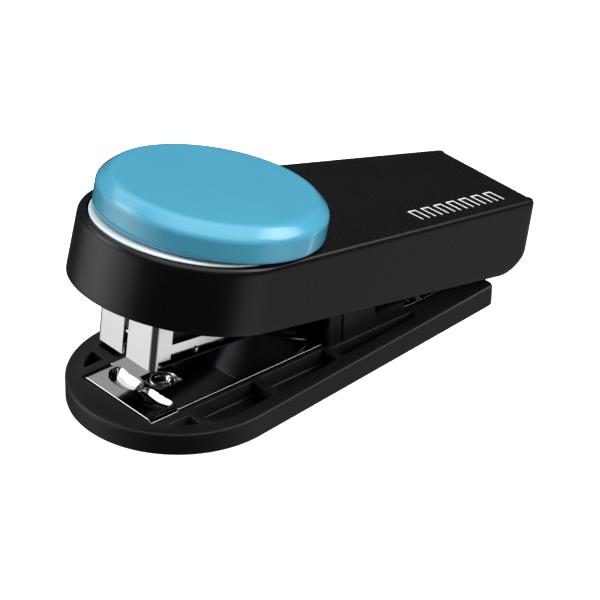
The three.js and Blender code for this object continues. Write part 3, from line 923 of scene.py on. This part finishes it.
def fromTree(name, tree, values):
    piece = bpy.data.objects.new(name, bpy.data.meshes.new(name))
    scene.collection.objects.link(piece)
    modifier = piece.modifiers.new("nodes", "NODES")
    modifier.node_group = tree
    for item in tree.interface.items_tree:
        if item.item_type == "SOCKET" and item.in_out == "INPUT" and item.name in values:
            modifier[item.identifier] = values[item.name]
    return bake(piece)


rivetRow = rivetRowTree()
roof = 5.03  # underside of the cover's roof
bracketRivet = {
    "first": (-3.0, 35.6, 0.0), "step": 6.0,
    "foot": 1.89, "head": 4.19, "top": 4.44, "wide": 1.3, "shank": 0.65,
}
bladeRivet = {"first": (-2.3, -44.4, 0.0), "step": 4.6, "tab": 4.68, "end": roof + 0.15}


def buildRivetPair(name, profile, sizes, body, place, replaced):
    single = turned("tool", profile, 40)
    row = fromTree(name, rivetRow, {
        "Rivet": single,
        "Count": 2,
        "Start": sizes["first"],
        "Step": (sizes["step"], 0.0, 0.0),
        "Material": brushedSteel,
    })
    bpy.data.objects.remove(single)
    return finishPiece(row, body, brushedSteel, place, replaced, sharp=50, weighted=False)


def buildBracketRivets():
    foot = bracketRivet["foot"]
    head = bracketRivet["head"]
    top = bracketRivet["top"]
    wide = bracketRivet["wide"]
    shank = bracketRivet["shank"]
    buildRivetPair("bracketRivets", [
        (0, foot), (shank, foot), (shank, head), (wide - 0.05, head), (wide, head + 0.05),
        (wide - 0.04, head + 0.13), (wide - 0.2, top - 0.06), (wide - 0.6, top - 0.01), (0, top),
    ], bracketRivet, "base", basePlace, ["bracket_rivet_left", "bracket_rivet_right"])


def buildBladeRivets():
    tab = bladeRivet["tab"]
    end = bladeRivet["end"]
    buildRivetPair("bladeRivets", [
        (0, tab - 0.95), (0.55, tab - 0.94), (0.85, tab - 0.88), (0.95, tab - 0.8), (0.93, tab - 0.75),
        (0.5, tab - 0.75), (0.5, end), (0, end),
    ], bladeRivet, "cover", coverPlace, ["blade_rivet_left", "blade_rivet_right"])


buildBracketRivets()
buildBladeRivets()

leafRivet = {
    "place": (0, 20),
    "profile": [
        (0, 1.89), (0.65, 1.89), (0.65, 3.94), (1.45, 3.94), (1.5, 3.99),
        (1.46, 4.06), (1.25, 4.14), (0.7, 4.17), (0, 4.17),
    ],
}
railRivet = {
    "place": (0, -30.34),
    "profile": [
        (0, -3.94), (0.8, -3.94), (1.2, -3.86), (1.35, -3.78), (1.33, -3.69), (0.6, -3.69),
        (0.6, -1.97), (1.25, -1.97), (1.3, -1.92), (1.2, -1.82), (0.8, -1.79), (0, -1.79),
    ],
}
for name, sizes, body, place, node in (
    ("leafRivet", leafRivet, "base", basePlace, "leaf_rivet"),
    ("railRivet", railRivet, "magazine", magazinePlace, "rail_rivet"),
):
    rivet = turned(name, sizes["profile"], 48, sizes["place"])
    finishPiece(rivet, body, brushedSteel, place, [node], sharp=50, weighted=False)
print("rivets ready")


# Return leaf.
leaf = {
    "half": 5.0, "thick": 0.25, "low": 3.39, "rear": 23.0, "bend": 16.2,
    "nose": -48.64, "under": -3.39,
    # Distance behind the magazine's nose, and below its floor, of the raised part.
    "raised": ((17.2, 0.92), (15.6, 0.58), (9.0, 0.78), (3.2, 1.0), (1.8, 1.08)),
}


def channelPoint(y, z):
    p = fromChannel(0, y, z)
    return (p.y / mm, p.z / mm)


# A smooth line through every point.
def smoothLine(points, steps=8):
    made = []
    for i in range(len(points) - 1):
        p0 = points[max(i - 1, 0)]
        p1 = points[i]
        p2 = points[i + 1]
        p3 = points[min(i + 2, len(points) - 1)]
        for k in range(steps):
            t = k / steps
            made.append(tuple(
                0.5 * (
                    2 * p1[n]
                    + (p2[n] - p0[n]) * t
                    + (2 * p0[n] - 5 * p1[n] + 4 * p2[n] - p3[n]) * t * t
                    + (3 * p1[n] - p0[n] - 3 * p2[n] + p3[n]) * t ** 3
                )
                for n in range(len(p1))
            ))
    made.append(points[-1])
    return made


def buildLeaf():
    low = leaf["low"]
    thick = leaf["thick"]
    half = leaf["half"]
    line = [(leaf["rear"], low), (20.0, low), (17.0, low), (leaf["bend"], low + 0.03), (15.3, low + 0.2)]
    line += [channelPoint(leaf["nose"] + back, leaf["under"] - down) for back, down in leaf["raised"]]
    line = smoothLine(line, 5)
    upper = []
    for i, (y, z) in enumerate(line):
        a = line[max(i - 1, 0)]
        c = line[min(i + 1, len(line) - 1)]
        d = math.hypot(c[0] - a[0], c[1] - a[1])
        upper.append((y + (c[1] - a[1]) / d * thick, z - (c[0] - a[0]) / d * thick))
    strip = prism("returnLeaf", line + upper[::-1], -half, half, "x")
    carve(strip, rod("z", 0.95, 0, 12, 0, 20))
    soften(strip, 0.04, 1, 50)
    made = finishPiece(strip, "base", leafSteel, basePlace, ["return_leaf"], sharp=50)
    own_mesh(made)


buildLeaf()


# Hinge.
bracket = copyOfNode("hingeBracket", "hinge_bracket", basePlace)
soften(bracket, 0.08, 2)
finishPiece(bracket, "base", brushedSteel, basePlace, ["hinge_bracket"])
hingePin = {"height": 7.5, "end": [(0, -8.05), (0.95, -8.05), (1.12, -7.98), (1.2, -7.85)]}
pinProfile = hingePin["end"] + [(r, -z) for r, z in reversed(hingePin["end"])]
acrossPin = Matrix.Rotation(math.pi / 2, 4, "Y")
pinPiece = turned("hingePin", pinProfile, 48)
pinPiece.data.transform(Matrix.Translation((0, pinY, hingePin["height"])) @ acrossPin)
finishPiece(
    pinPiece, "base", channelSteel, basePlace, ["hinge_pin"], sharp=50, weighted=False,
)
print("hinge ready")


# Magazine channel.
channel = {
    "half": 5.18, "wall": 0.4, "front": -48.64, "headRear": -45.89, "bottom": -3.39, "top": 2.1,
    "flapBottom": -4.46, "headTop": 2.6, "headCorner": 0.85, "bend": 0.7, "bore": 1.5, "ear": 2.5,
    "window": (-45.84, -37.64, -1.54, 1.35), "slit": (-0.34, 0.51), "rivetHole": (0.9, -30.34),
    "tab": (-42.3, -41.85, -2.7), "earFloor": (-6.2, -3.4, 0.42),
}


def headPlan(half, front, rear, corner, steps=10):
    return (
        arc(-half + corner, front + corner, corner, 180, 270, steps)
        + arc(half - corner, front + corner, corner, 270, 360, steps)
        + [(half, rear), (-half, rear)]
    )


def buildChannel():
    half = channel["half"]
    wall = channel["wall"]
    front = channel["front"]
    rear = channel["headRear"]
    low = channel["bottom"]
    high = channel["top"]
    corner = channel["headCorner"]
    head = prism(
        "magazineChannel", headPlan(half, front, rear, corner), channel["flapBottom"], channel["headTop"],
    )
    carve(
        head,
        prism("tool", headPlan(half - wall, front + wall, rear + 1, corner - wall), -9, 9),
        box(*channel["slit"], front - 1, front + wall + 0.1, -9, 9),
        box(-6, 6, front + 0.95, rear + 1, channel["flapBottom"] - 1, low),
    )
    bend = channel["bend"]
    section = [(half, 4.0), (half, low + bend)]
    section += arc(half - bend, low + bend, bend, 0, -90, 8)[1:]
    section += [(-x, z) for x, z in reversed(section[1:])] + [(-half, 4.0)]
    inner = half - wall
    tight = bend - wall
    inside = [(inner, 4.0), (inner, low + bend)]
    inside += arc(inner - tight, low + bend, tight, 0, -90, 6)[1:]
    inside += [(-x, z) for x, z in reversed(inside[1:])] + [(-inner, 4.0)]
    outline = section + inside[::-1]
    rings = [[(x, y, z) for x, z in outline] for y in (rear - 0.2, channel["ear"] + 0.5)]
    trough = loft("tool", rings)
    step, earFront, rise = channel["earFloor"]
    profile = [(rear - 1, low - 0.5), (step, low - 0.5), (step, low + rise), (earFront, low + rise)]
    profile += arc(0, 0, channel["ear"], -90, 90, 28) + [(earFront, high), (rear - 1, high)]
    keep(trough, prism("tool", profile, -7, 7, "x"))
    weld(head, trough)
    y0, y1, z0, z1 = channel["window"]
    hole, holeY = channel["rivetHole"]
    carve(
        head,
        prism("tool", rectangle(y0, y1, z0, z1, 0.12, 3), -7, 7, "x"),
        rod("x", channel["bore"], -9, 9, 0, 0),
        rod("z", hole, -5, 0, 0, holeY),
    )
    tabs = []
    tabFront, tabRear, tabTop = channel["tab"]
    shape = rectangle(tabFront, tabRear, low - 0.06, tabTop, 0.14, 4)
    for side in (1, -1):
        lump = prism("tool", shape, side * (half - 0.1), side * (half + 0.22), "x")
        tabs.append(soften(lump, 0.06, 2))
    weld(head, *tabs)
    soften(head, 0.055, 2, 34)
    return finishPiece(
        head, "magazine", channelSteel, magazinePlace, ["magazine_channel"], sharp=34,
    )


buildChannel()
print("channel ready")

for name, node, width, material, slot in (
    ("stapleRail", "staple_rail", 0.06, brushedSteel, "brushed_steel"),
    ("staplePusher", "staple_pusher", 0.12, darkPlastic, "dark_plastic"),
    ("rodAnchor", "rod_anchor", 0.1, darkPlastic, "dark_plastic"),
):
    body = "pusher" if name == "staplePusher" else "magazine"
    piece = copyOfNode(name, node, magazinePlace)
    soften(piece, width, 2)
    finishPiece(piece, body, material, magazinePlace, [node])

springRod = {
    "z": -0.4,
    "profile": [(0, -45.49), (0.4, -45.49), (0.5, -45.39), (0.5, -7.0), (0.4, -6.9), (0, -6.9)],
}
alongRail = Matrix.Translation((0, 0, springRod["z"])) @ Matrix.Rotation(-math.pi / 2, 4, "X")
rodPiece = turned("springRod", springRod["profile"], 32)
rodPiece.data.transform(alongRail)
finishPiece(
    rodPiece, "magazine", channelSteel, magazinePlace, ["spring_rod"],
    sharp=50, weighted=False,
)

sleeve = {"bore": 1.5, "radius": 2.05, "half": 4.3, "edge": 0.1}


def buildSleeve():
    bore = sleeve["bore"]
    radius = sleeve["radius"]
    half = sleeve["half"]
    edge = sleeve["edge"]
    tube = turned("pinSleeve", [
        (bore, edge - half), (bore + edge, -half), (radius - edge, -half), (radius, edge - half),
        (radius, half - edge), (radius - edge, half), (bore + edge, half), (bore, half - edge),
        (bore, edge - half),
    ], 56)
    tube.data.transform(acrossPin)
    finishPiece(
        tube, "magazine", darkPlastic, magazinePlace, ["pin_sleeve"], sharp=50, weighted=False,
    )


buildSleeve()


# Springs.
def coilTree():
    tree, given, out = geometryTree("coil", (
        ("Turns", "Float"), ("Radius", "Float"), ("Length", "Float"),
        ("Wire", "Float"), ("Steps", "Int"), ("Material", "Material"),
    ))
    spiral = tree.nodes.new("GeometryNodeCurveSpiral")
    circle = tree.nodes.new("GeometryNodeCurvePrimitiveCircle")
    circle.inputs["Resolution"].default_value = 10
    sweep = tree.nodes.new("GeometryNodeCurveToMesh")
    sweep.inputs["Fill Caps"].default_value = True
    for label, target in (
        ("Turns", spiral.inputs["Rotations"]),
        ("Radius", spiral.inputs["Start Radius"]),
        ("Radius", spiral.inputs["End Radius"]),
        ("Length", spiral.inputs["Height"]),
        ("Steps", spiral.inputs["Resolution"]),
        ("Wire", circle.inputs["Radius"]),
    ):
        linkTo(tree, given.outputs[label], target)
    linkTo(tree, spiral.outputs["Curve"], sweep.inputs["Curve"])
    linkTo(tree, circle.outputs["Curve"], sweep.inputs["Profile Curve"])
    endTree(tree, sweep.outputs["Mesh"], given.outputs["Material"], out)
    return tree


feed = {"turns": 16.0, "radius": 1.15, "front": -37.7, "rear": -9.65, "wire": 0.19, "stepsPerTurn": 20}
feedSpring = fromTree("pusherSpring", coilTree(), {
    "Turns": feed["turns"], "Radius": feed["radius"], "Length": feed["rear"] - feed["front"],
    "Wire": feed["wire"], "Steps": feed["stepsPerTurn"], "Material": springSteel,
})
springPlace = Matrix.Translation((0, feed["front"], springRod["z"])) @ Matrix.Rotation(-math.pi / 2, 4, "X")
feedSpring.data.transform(springPlace)
finishPiece(
    feedSpring, "magazine", springSteel, magazinePlace, ["pusher_spring"],
    sharp=80, weighted=False,
)
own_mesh(feedSpring)


# A round wire along a line of points, its ring carried without twist.
def wireAlong(name, points, radius, sides=12):
    points = [Vector(p) for p in points]
    tangents = []
    for i in range(len(points)):
        a = points[max(i - 1, 0)]
        c = points[min(i + 1, len(points) - 1)]
        tangents.append((c - a).normalized())
    side = tangents[0].orthogonal().normalized()
    rings = []
    for point, tangent in zip(points, tangents):
        side = (side - tangent * side.dot(tangent)).normalized()
        other = tangent.cross(side)
        ring = []
        for k in range(sides):
            a = 2 * math.pi * k / sides
            ring.append(tuple(point + side * radius * math.cos(a) + other * radius * math.sin(a)))
        rings.append(ring)
    return loft(name, rings)


lift = {"radius": 2.6, "half": 3.7, "wire": 0.21, "turns": 4.5, "stepsPerTurn": 20, "gap": 0.6}


def buildLiftSpring():
    r = lift["radius"]
    half = lift["half"]
    steps = lift["stepsPerTurn"]
    legX = half + 0.15
    lean = coverTilt - channelTilt
    legZ = channel["bottom"] + 0.42 + 0.62

    def underRoof(y):
        return (6.63 - 1.6) / math.cos(lean) - y * math.tan(lean) - lift["gap"]

    points = [(-legX, -12, legZ), (-legX, -9.5, legZ), (-legX, -7, legZ), (-legX, -3, 0.1 - r)]
    for i in range(int(lift["turns"] * steps) + 1):
        t = 2 * math.pi * i / steps
        points.append((-half + 2 * half * i / (lift["turns"] * steps), r * math.sin(t), -r * math.cos(t)))
    points += [
        (legX, -3, r + 0.35),
        (legX, -6.5, (r + underRoof(-6.5)) / 2 + 0.5),
        (legX, -11.5, underRoof(-11.5)),
    ]
    spring = wireAlong("torsionSpring", smoothLine(points, 2), lift["wire"])
    made = finishPiece(
        spring, None, springSteel, magazinePlace, (), sharp=80, weighted=False,
    )
    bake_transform(made)
    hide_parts("torsion_spring")


buildLiftSpring()
print("springs ready")


# Cover.
cover = {
    "radius": 13.64, "rearHalf": 8.75, "length": 50.05, "corner": 1.6, "reach": pinY, "rise": 6.63,
    "wall": 1.15, "roof": 1.6, "depthFront": 8.05, "depthRear": 9.8, "heel": 5.0, "draft": 0.35,
    "edgeWide": 0.66, "edgeHigh": 0.85, "brow": 1.5, "lip": 0.3, "fillet": 0.5,
    "seatRadius": 12.56, "seatDepth": 0.8, "seatForward": 0.1, "capBack": 2.32,
    "bossInner": 6.85, "bossOuter": 8.75, "bossRadius": 2.6, "bore": 1.5,
    "screwHole": 1.3, "rivetHole": 0.8, "rivetX": 2.3, "rivetForward": 3.9,
}
coverPlan = Plan(cover["radius"], cover["rearHalf"], cover["length"], cover["corner"])


def lowerEdge(y):
    slope = (cover["depthRear"] - cover["depthFront"]) / (cover["length"] + cover["radius"])
    heelStart = cover["length"] - cover["reach"] - cover["heel"]
    if y < heelStart:
        return -cover["depthFront"] - slope * (y + cover["reach"] + cover["radius"])
    run = min(y - heelStart, cover["heel"])
    edge = -cover["depthFront"] - slope * (heelStart + cover["reach"] + cover["radius"])
    return edge + cover["heel"] - math.sqrt(max(0.0, cover["heel"] ** 2 - run ** 2))


def flare(z):
    return cover["draft"] * max(0.0, -z - cover["edgeHigh"]) / (13 - cover["edgeHigh"])


def buildCoverShell():
    reach = cover["reach"]
    high = cover["edgeHigh"]
    lip = cover["lip"]
    fillet = cover["fillet"]
    rings = []

    def add(inset, height):
        rings.append(coverPlan.ring(inset, height, -reach))

    def brow(ny):
        return smoothstep(ny, 0.7, 1.0)

    def wide(ny):
        return cover["edgeWide"] + (cover["brow"] - cover["edgeWide"]) * brow(ny)

    def tall(ny):
        return high + (cover["brow"] - high) * brow(ny)

    def level(share):
        def height(y, ny):
            low = lowerEdge(y) + lip
            return low + (-tall(ny) - low) * share
        return height

    def inset(share):
        height = level(share)
        return lambda y, ny: -flare(height(y, ny))

    # Inside of the roof and the walls, round the lip, and up the outside to the top.
    add(cover["wall"] + 0.9, -cover["roof"])
    for a in (90, 60, 30, 0):
        r = math.radians(a)
        add(cover["wall"] + 0.1 + fillet * (1 - math.cos(r)), -cover["roof"] - fillet + fillet * math.sin(r))
    add(lambda y, ny: cover["wall"] - flare(lowerEdge(y)), lambda y, ny: lowerEdge(y) + lip)
    for a in (30, 60, 90):
        r = math.radians(a)
        add(
            lambda y, ny: cover["wall"] - flare(lowerEdge(y)) - lip * (1 - math.cos(r)),
            lambda y, ny: lowerEdge(y) + lip * (1 - math.sin(r)),
        )
    for a in (90, 60, 30):
        r = math.radians(a)
        add(
            lambda y, ny: -flare(lowerEdge(y)) + lip * (1 - math.cos(r)),
            lambda y, ny: lowerEdge(y) + lip * (1 - math.sin(r)),
        )
    for share in (0.0, 0.08, 0.35, 0.65, 0.92, 1.0):
        add(inset(share), level(share))
    for a in range(12, 91, 13):
        r = math.radians(a)
        add(lambda y, ny: wide(ny) * (1 - math.cos(r)), lambda y, ny: -tall(ny) * (1 - math.sin(r)))
    add(lambda y, ny: wide(ny) + 0.08, 0.0)
    shell = loft("coverShell", rings)
    bosses = []
    for side in (1, -1):
        x0 = min(side * cover["bossInner"], side * cover["bossOuter"])
        x1 = max(side * cover["bossInner"], side * cover["bossOuter"])
        radius = cover["bossRadius"]
        shape = arc(0, -cover["rise"], radius, 180, 360, 28) + [(radius, -1.2), (-radius, -1.2)]
        bosses.append(prism("tool", shape, x0, x1, "x"))
    weld(shell, *bosses)
    seatY = -reach - cover["seatForward"]
    rivetY = -reach - cover["rivetForward"]
    depth = cover["seatDepth"]
    r = cover["seatRadius"]
    seat = turned("tool", [
        (0, -depth), (r - 0.05, -depth), (r, -depth + 0.05), (r, -0.1),
        (r + 0.03, -0.04), (r + 0.1, 0.0), (r + 0.14, 1.0), (0, 1.0),
    ], 160, (0, seatY))
    carve(
        shell,
        seat,
        rod("x", cover["bore"], -8.35, 8.35, 0, -cover["rise"]),
        rod("z", cover["screwHole"], -3, 1, 0, -reach + cover["capBack"]),
        rod("z", cover["rivetHole"], -3, -1.15, -cover["rivetX"], rivetY, 32),
        rod("z", cover["rivetHole"], -3, -1.15, cover["rivetX"], rivetY, 32),
    )
    shell.data.transform(Matrix.Translation((0, 0, cover["rise"])))
    return finishPiece(
        shell, "cover", blackCover, coverPlace, ["cover_shell"], sharp=30, wearAndSheen=0.5,
    )


buildCoverShell()
print("cover ready")

seatRing = {"inner": 8.6, "outer": 12.26, "low": 6.13, "top": 6.69}


def buildSeatRing():
    inner = seatRing["inner"]
    outer = seatRing["outer"]
    low = seatRing["low"]
    top = seatRing["top"]
    made = turned("seatRing", [
        (inner, low), (outer - 0.05, low), (outer, low + 0.05), (outer, top - 0.14), (outer - 0.03, top - 0.06),
        (outer - 0.1, top - 0.01), (outer - 0.2, top), (inner + 0.1, top), (inner, top - 0.08), (inner, low),
    ], 160, (0, -cover["reach"] - cover["seatForward"]))
    finishPiece(made, "cover", ringWhite, coverPlace, ["seat_ring"], sharp=50, wearAndSheen=0.2)


buildSeatRing()

# Press cap.
cap = {
    "edge": 13.86, "low": 7.04, "wallTop": 9.0, "crown": 11.26, "ceiling": 9.83, "bore": 1.3, "boreTop": 10.03,
    # Inset from the edge and height of the shoulder: a 43 degree band with a soft turn at each side.
    "shoulder": (
        (0, 9.45), (0.04, 9.72), (0.16, 9.97), (0.36, 10.22), (0.62, 10.47), (0.9, 10.72),
        (1.14, 10.92), (1.36, 11.07), (1.62, 11.18), (1.95, 11.235), (2.4, 11.25),
    ),
    "steps": 192,
}


def buildCap():
    edge = cap["edge"]
    low = cap["low"]
    crown = cap["crown"]
    bore = cap["bore"]
    ceiling = cap["ceiling"]
    profile = [
        (bore, low + 0.1), (3.0, low + 0.1), (3.1, low + 0.2), (3.1, ceiling), (edge - 1.4, ceiling),
        (edge - 1.3, low + 0.05), (edge - 1.25, low), (edge - 0.32, low), (edge - 0.2, low + 0.02),
        (edge - 0.1, low + 0.07), (edge - 0.03, low + 0.17), (edge, low + 0.32), (edge, low + 0.9),
        (edge, cap["wallTop"]),
    ]
    shoulder = [(edge - inset, z) for inset, z in cap["shoulder"]]
    profile += smoothLine([(edge, cap["wallTop"])] + shoulder, 4)[1:]
    profile += [(edge - 3.2, crown), (8.0, crown + 0.01), (4.0, crown + 0.02), (0, crown + 0.03)]
    profile += [(0, cap["boreTop"]), (bore, cap["boreTop"]), (bore, low + 0.1)]
    made = turned("buttonCap", profile, cap["steps"], (0, -cover["reach"] + cover["capBack"]))
    return finishPiece(made, "cover", capBlue, coverPlace, ["button_cap"], sharp=45, wearAndSheen=0.2)


buildCap()

screw = {"shank": 1.0, "end": 9.63, "head": 2.0, "slotHalf": 0.22, "slotReach": 1.3}


def buildScrew():
    y = -cover["reach"] + cover["capBack"]
    head = screw["head"]
    shank = screw["shank"]
    half = screw["slotHalf"]
    reach = screw["slotReach"]
    made = turned("capScrew", [
        (0, roof - 0.95), (0.55, roof - 0.95), (0.55, roof - 1.3), (1.5, roof - 1.3),
        (head - 0.2, roof - 1.24), (head, roof - 1.05), (head, roof - 0.45), (shank, roof - 0.45),
        (shank, screw["end"]), (0, screw["end"]),
    ], 48, (0, y))
    carve(
        made,
        box(-reach, reach, y - half, y + half, roof - 2, roof - 0.8),
        box(-half, half, y - reach, y + reach, roof - 2, roof - 0.8),
    )
    finishPiece(
        made, "cover", brushedSteel, coverPlace, ["cap_screw"], sharp=40, weighted=False,
    )


buildScrew()
blade = copyOfNode("driverBlade", "driver_blade", coverPlace)
soften(blade, 0.06, 2)
finishPiece(blade, "cover", brushedSteel, coverPlace, ["driver_blade"])
print("cap ready")


# Printed row of staple signs, in place of the lettering.
signs = {
    "count": 7, "wide": 1.45, "high": 2.5, "stroke": 0.2, "pitch": 2.42, "film": 0.02,
    "front": (8.66, -10.5), "slope": -0.0915,
}


def signRowTree():
    tree, given, out = geometryTree("signRow", (
        ("Count", "Int"), ("Pitch", "Float"), ("Wide", "Float"), ("High", "Float"),
        ("Stroke", "Float"), ("Film", "Float"), ("Material", "Material"),
    ))

    def join3(x, y, z):
        node = tree.nodes.new("ShaderNodeCombineXYZ")
        for index, value in enumerate((x, y, z)):
            if isinstance(value, (int, float)):
                node.inputs[index].default_value = value
            else:
                linkTo(tree, value, node.inputs[index])
        return node.outputs[0]

    def slab(size, centre):
        cube = tree.nodes.new("GeometryNodeMeshCube")
        shift = tree.nodes.new("GeometryNodeTransform")
        linkTo(tree, size, cube.inputs["Size"])
        linkTo(tree, cube.outputs["Mesh"], shift.inputs["Geometry"])
        linkTo(tree, centre, shift.inputs["Translation"])
        return shift.outputs["Geometry"]

    wide, high, stroke, film = (given.outputs[label] for label in ("Wide", "High", "Stroke", "Film"))
    halfWide = mathNode(tree, "MULTIPLY", mathNode(tree, "SUBTRACT", wide, stroke), 0.5)
    otherHalf = mathNode(tree, "MULTIPLY", halfWide, -1.0)
    legLong = mathNode(tree, "SUBTRACT", high, stroke)
    halfLeg = mathNode(tree, "MULTIPLY", legLong, -0.5)
    crownX = mathNode(tree, "SUBTRACT", mathNode(tree, "MULTIPLY", stroke, -0.5), legLong)
    halfFilm = mathNode(tree, "MULTIPLY", film, 0.5)
    sign = tree.nodes.new("GeometryNodeJoinGeometry")
    for geometry in (
        slab(join3(stroke, wide, film), join3(crownX, 0.0, halfFilm)),
        slab(join3(legLong, stroke, film), join3(halfLeg, halfWide, halfFilm)),
        slab(join3(legLong, stroke, film), join3(halfLeg, otherHalf, halfFilm)),
    ):
        linkTo(tree, geometry, sign.inputs["Geometry"])
    line = tree.nodes.new("GeometryNodeMeshLine")
    line.mode = "OFFSET"
    linkTo(tree, given.outputs["Count"], line.inputs["Count"])
    linkTo(tree, join3(0.0, given.outputs["Pitch"], 0.0), line.inputs["Offset"])
    row = repeatOn(tree, line.outputs["Mesh"], sign.outputs["Geometry"])
    endTree(tree, row, given.outputs["Material"], out)
    return tree


signRow = fromTree("signRow", signRowTree(), {
    "Count": signs["count"],
    "Pitch": signs["pitch"],
    "Wide": signs["wide"],
    "High": signs["high"],
    "Stroke": signs["stroke"],
    "Film": signs["film"],
    "Material": printInk,
})
signRow.data.transform(
    Matrix.Translation((signs["front"][0], signs["front"][1], cover["rise"]))
    @ Matrix.Rotation(-math.atan(signs["slope"]), 4, "Z")
)
finishPiece(signRow, "cover", printInk, coverPlace, (), sharp=30, weighted=False)
print("print ready")


# Floor and light.
stageCentre = Vector((0, 0.014, 0.012))


# Puts a lamp or a card on a sphere round the stapler, facing it.
def aim(thing, azimuthDegrees, elevationDegrees, distance):
    a = math.radians(azimuthDegrees)
    e = math.radians(elevationDegrees)
    away = Vector((math.cos(a) * math.cos(e), math.sin(a) * math.cos(e), math.sin(e)))
    thing.rotation_mode = "QUATERNION"
    thing.rotation_quaternion = away.to_track_quat("Z", "Y")
    thing.location = stageCentre + away * distance


# The glow of a card fades over the soft share of its sides.
def glowMaterial(name, strength, soft):
    material = bpy.data.materials.new(name)
    material.use_nodes = True
    tree = material.node_tree
    tree.nodes.clear()
    glow = tree.nodes.new("ShaderNodeEmission")
    place = tree.nodes.new("ShaderNodeTexCoord")
    parts = tree.nodes.new("ShaderNodeSeparateXYZ")
    linkTo(tree, place.outputs["Object"], parts.inputs[0])
    fades = []
    for axis in ("X", "Y"):
        inside = mathNode(tree, "SUBTRACT", 0.5, mathNode(tree, "ABSOLUTE", parts.outputs[axis]))
        fades.append(mathNode(tree, "DIVIDE", inside, soft, clamp=True))
    fade = mathNode(tree, "MULTIPLY", *fades)
    linkTo(tree, mathNode(tree, "MULTIPLY", fade, strength), glow.inputs["Strength"])
    clear = tree.nodes.new("ShaderNodeBsdfTransparent")
    both = tree.nodes.new("ShaderNodeAddShader")
    output = tree.nodes.new("ShaderNodeOutputMaterial")
    linkTo(tree, glow.outputs[0], both.inputs[0])
    linkTo(tree, clear.outputs[0], both.inputs[1])
    linkTo(tree, both.outputs[0], output.inputs["Surface"])
    material.cycles.emission_sampling = "NONE"
    return material


# A glowing card that only reflections see.
def emitter(name, azimuthDegrees, elevationDegrees, distance, width, height, strength, soft):
    mesh = bpy.data.meshes.new(name)
    mesh.from_pydata([(-0.5, -0.5, 0), (0.5, -0.5, 0), (0.5, 0.5, 0), (-0.5, 0.5, 0)], [], [(0, 1, 2, 3)])
    mesh.materials.append(glowMaterial(name, strength, soft))
    card = bpy.data.objects.new(name, mesh)
    scene.collection.objects.link(card)
    card.scale = (width, height, 1)
    aim(card, azimuthDegrees, elevationDegrees, distance)
    card.visible_camera = False
    card.visible_diffuse = False
    card.visible_shadow = False


# A soft light that leaves no reflection of itself.
def softbox(name, azimuthDegrees, elevationDegrees, distance, size, power):
    data = bpy.data.lights.new(name, "AREA")
    data.shape = "RECTANGLE"
    data.size = size[0]
    data.size_y = size[1]
    data.energy = power
    light = bpy.data.objects.new(name, data)
    scene.collection.objects.link(light)
    aim(light, azimuthDegrees, elevationDegrees, distance)
    light.visible_glossy = False


# Azimuth, elevation, distance and size, then the power.
softbox("topLight", 60, 78, 0.55, (0.5, 0.5), 3.1)
softbox("rightLight", 25, 25, 0.6, (0.4, 0.3), 3.6)
softbox("leftLight", -125, 25, 0.6, (0.4, 0.3), 3.4)
# The same for the cards, then the glow and the soft share.
emitter("leftCard", -127, 0, 0.6, 1.08, 1.1, 1.95, 0.5)
emitter("leftLampCard", -141, 36, 0.55, 0.36, 0.32, 2.6, 0.3)
emitter("leftHighCard", -172, 45, 0.5, 0.4, 0.3, 1.1, 0.2)
emitter("rightCard", 45, -31, 0.6, 0.95, 0.5, 0.24, 0.15)
emitter("rightInnerCard", 22, -28, 0.58, 0.5, 0.4, 0.35, 0.4)
emitter("rightStrip", 76, -24, 0.55, 0.07, 0.45, 0.7, 0.3)
emitter("rightLampCard", 58, 36, 0.55, 0.42, 0.38, 4.2, 0.3)
emitter("sideCard", -2, -34, 0.0346, 0.016, 0.009, 0.4, 0.3)
emitter("backCard", 140, 37, 0.5, 0.3, 0.2, 0.38, 0.15)
emitter("overheadCard", 40, 78, 0.5, 1.0, 1.0, 1.35, 0.3)


def buildFloor():
    material, tree, shader, vector = startMaterial("paleFloor", {
        "Roughness": 0.9,
        "Specular IOR Level": 0.1,
        "Emission Color": (1, 1, 1, 1),
        "Emission Strength": 1.0,
    })
    fibre = placeGroup(tree, mouldGrain, {"Grain Scale": 900.0, "Cloud Scale": 12.0}, vector)
    paper = mixColours(tree, fibre.outputs["Cloud"], (0.9, 0.9, 0.9), (0.92, 0.92, 0.92))
    linkTo(tree, paper, shader.inputs["Base Color"])
    bm = bmesh.new()
    bmesh.ops.create_grid(bm, x_segments=8, y_segments=8, size=6)
    mesh = bpy.data.meshes.new("floor")
    bm.to_mesh(mesh)
    bm.free()
    mesh.materials.append(material)
    floor = bpy.data.objects.new("floor", mesh)
    scene.collection.objects.link(floor)
    floor.visible_glossy = False
    floor.visible_diffuse = False


# White behind the stapler, and dim all round it for reflections.
def buildWorld():
    world = bpy.data.worlds.new("studio")
    scene.world = world
    world.use_nodes = True
    tree = world.node_tree
    tree.nodes.clear()
    dim = tree.nodes.new("ShaderNodeBackground")
    dim.inputs["Color"].default_value = (0.036, 0.036, 0.038, 1)
    bright = tree.nodes.new("ShaderNodeBackground")
    bright.inputs["Color"].default_value = (1, 1, 1, 1)
    path = tree.nodes.new("ShaderNodeLightPath")
    mixed = tree.nodes.new("ShaderNodeMixShader")
    output = tree.nodes.new("ShaderNodeOutputWorld")
    linkTo(tree, path.outputs["Is Camera Ray"], mixed.inputs[0])
    linkTo(tree, dim.outputs[0], mixed.inputs[1])
    linkTo(tree, bright.outputs[0], mixed.inputs[2])
    linkTo(tree, mixed.outputs[0], output.inputs["Surface"])


buildFloor()
buildWorld()
print("studio ready")
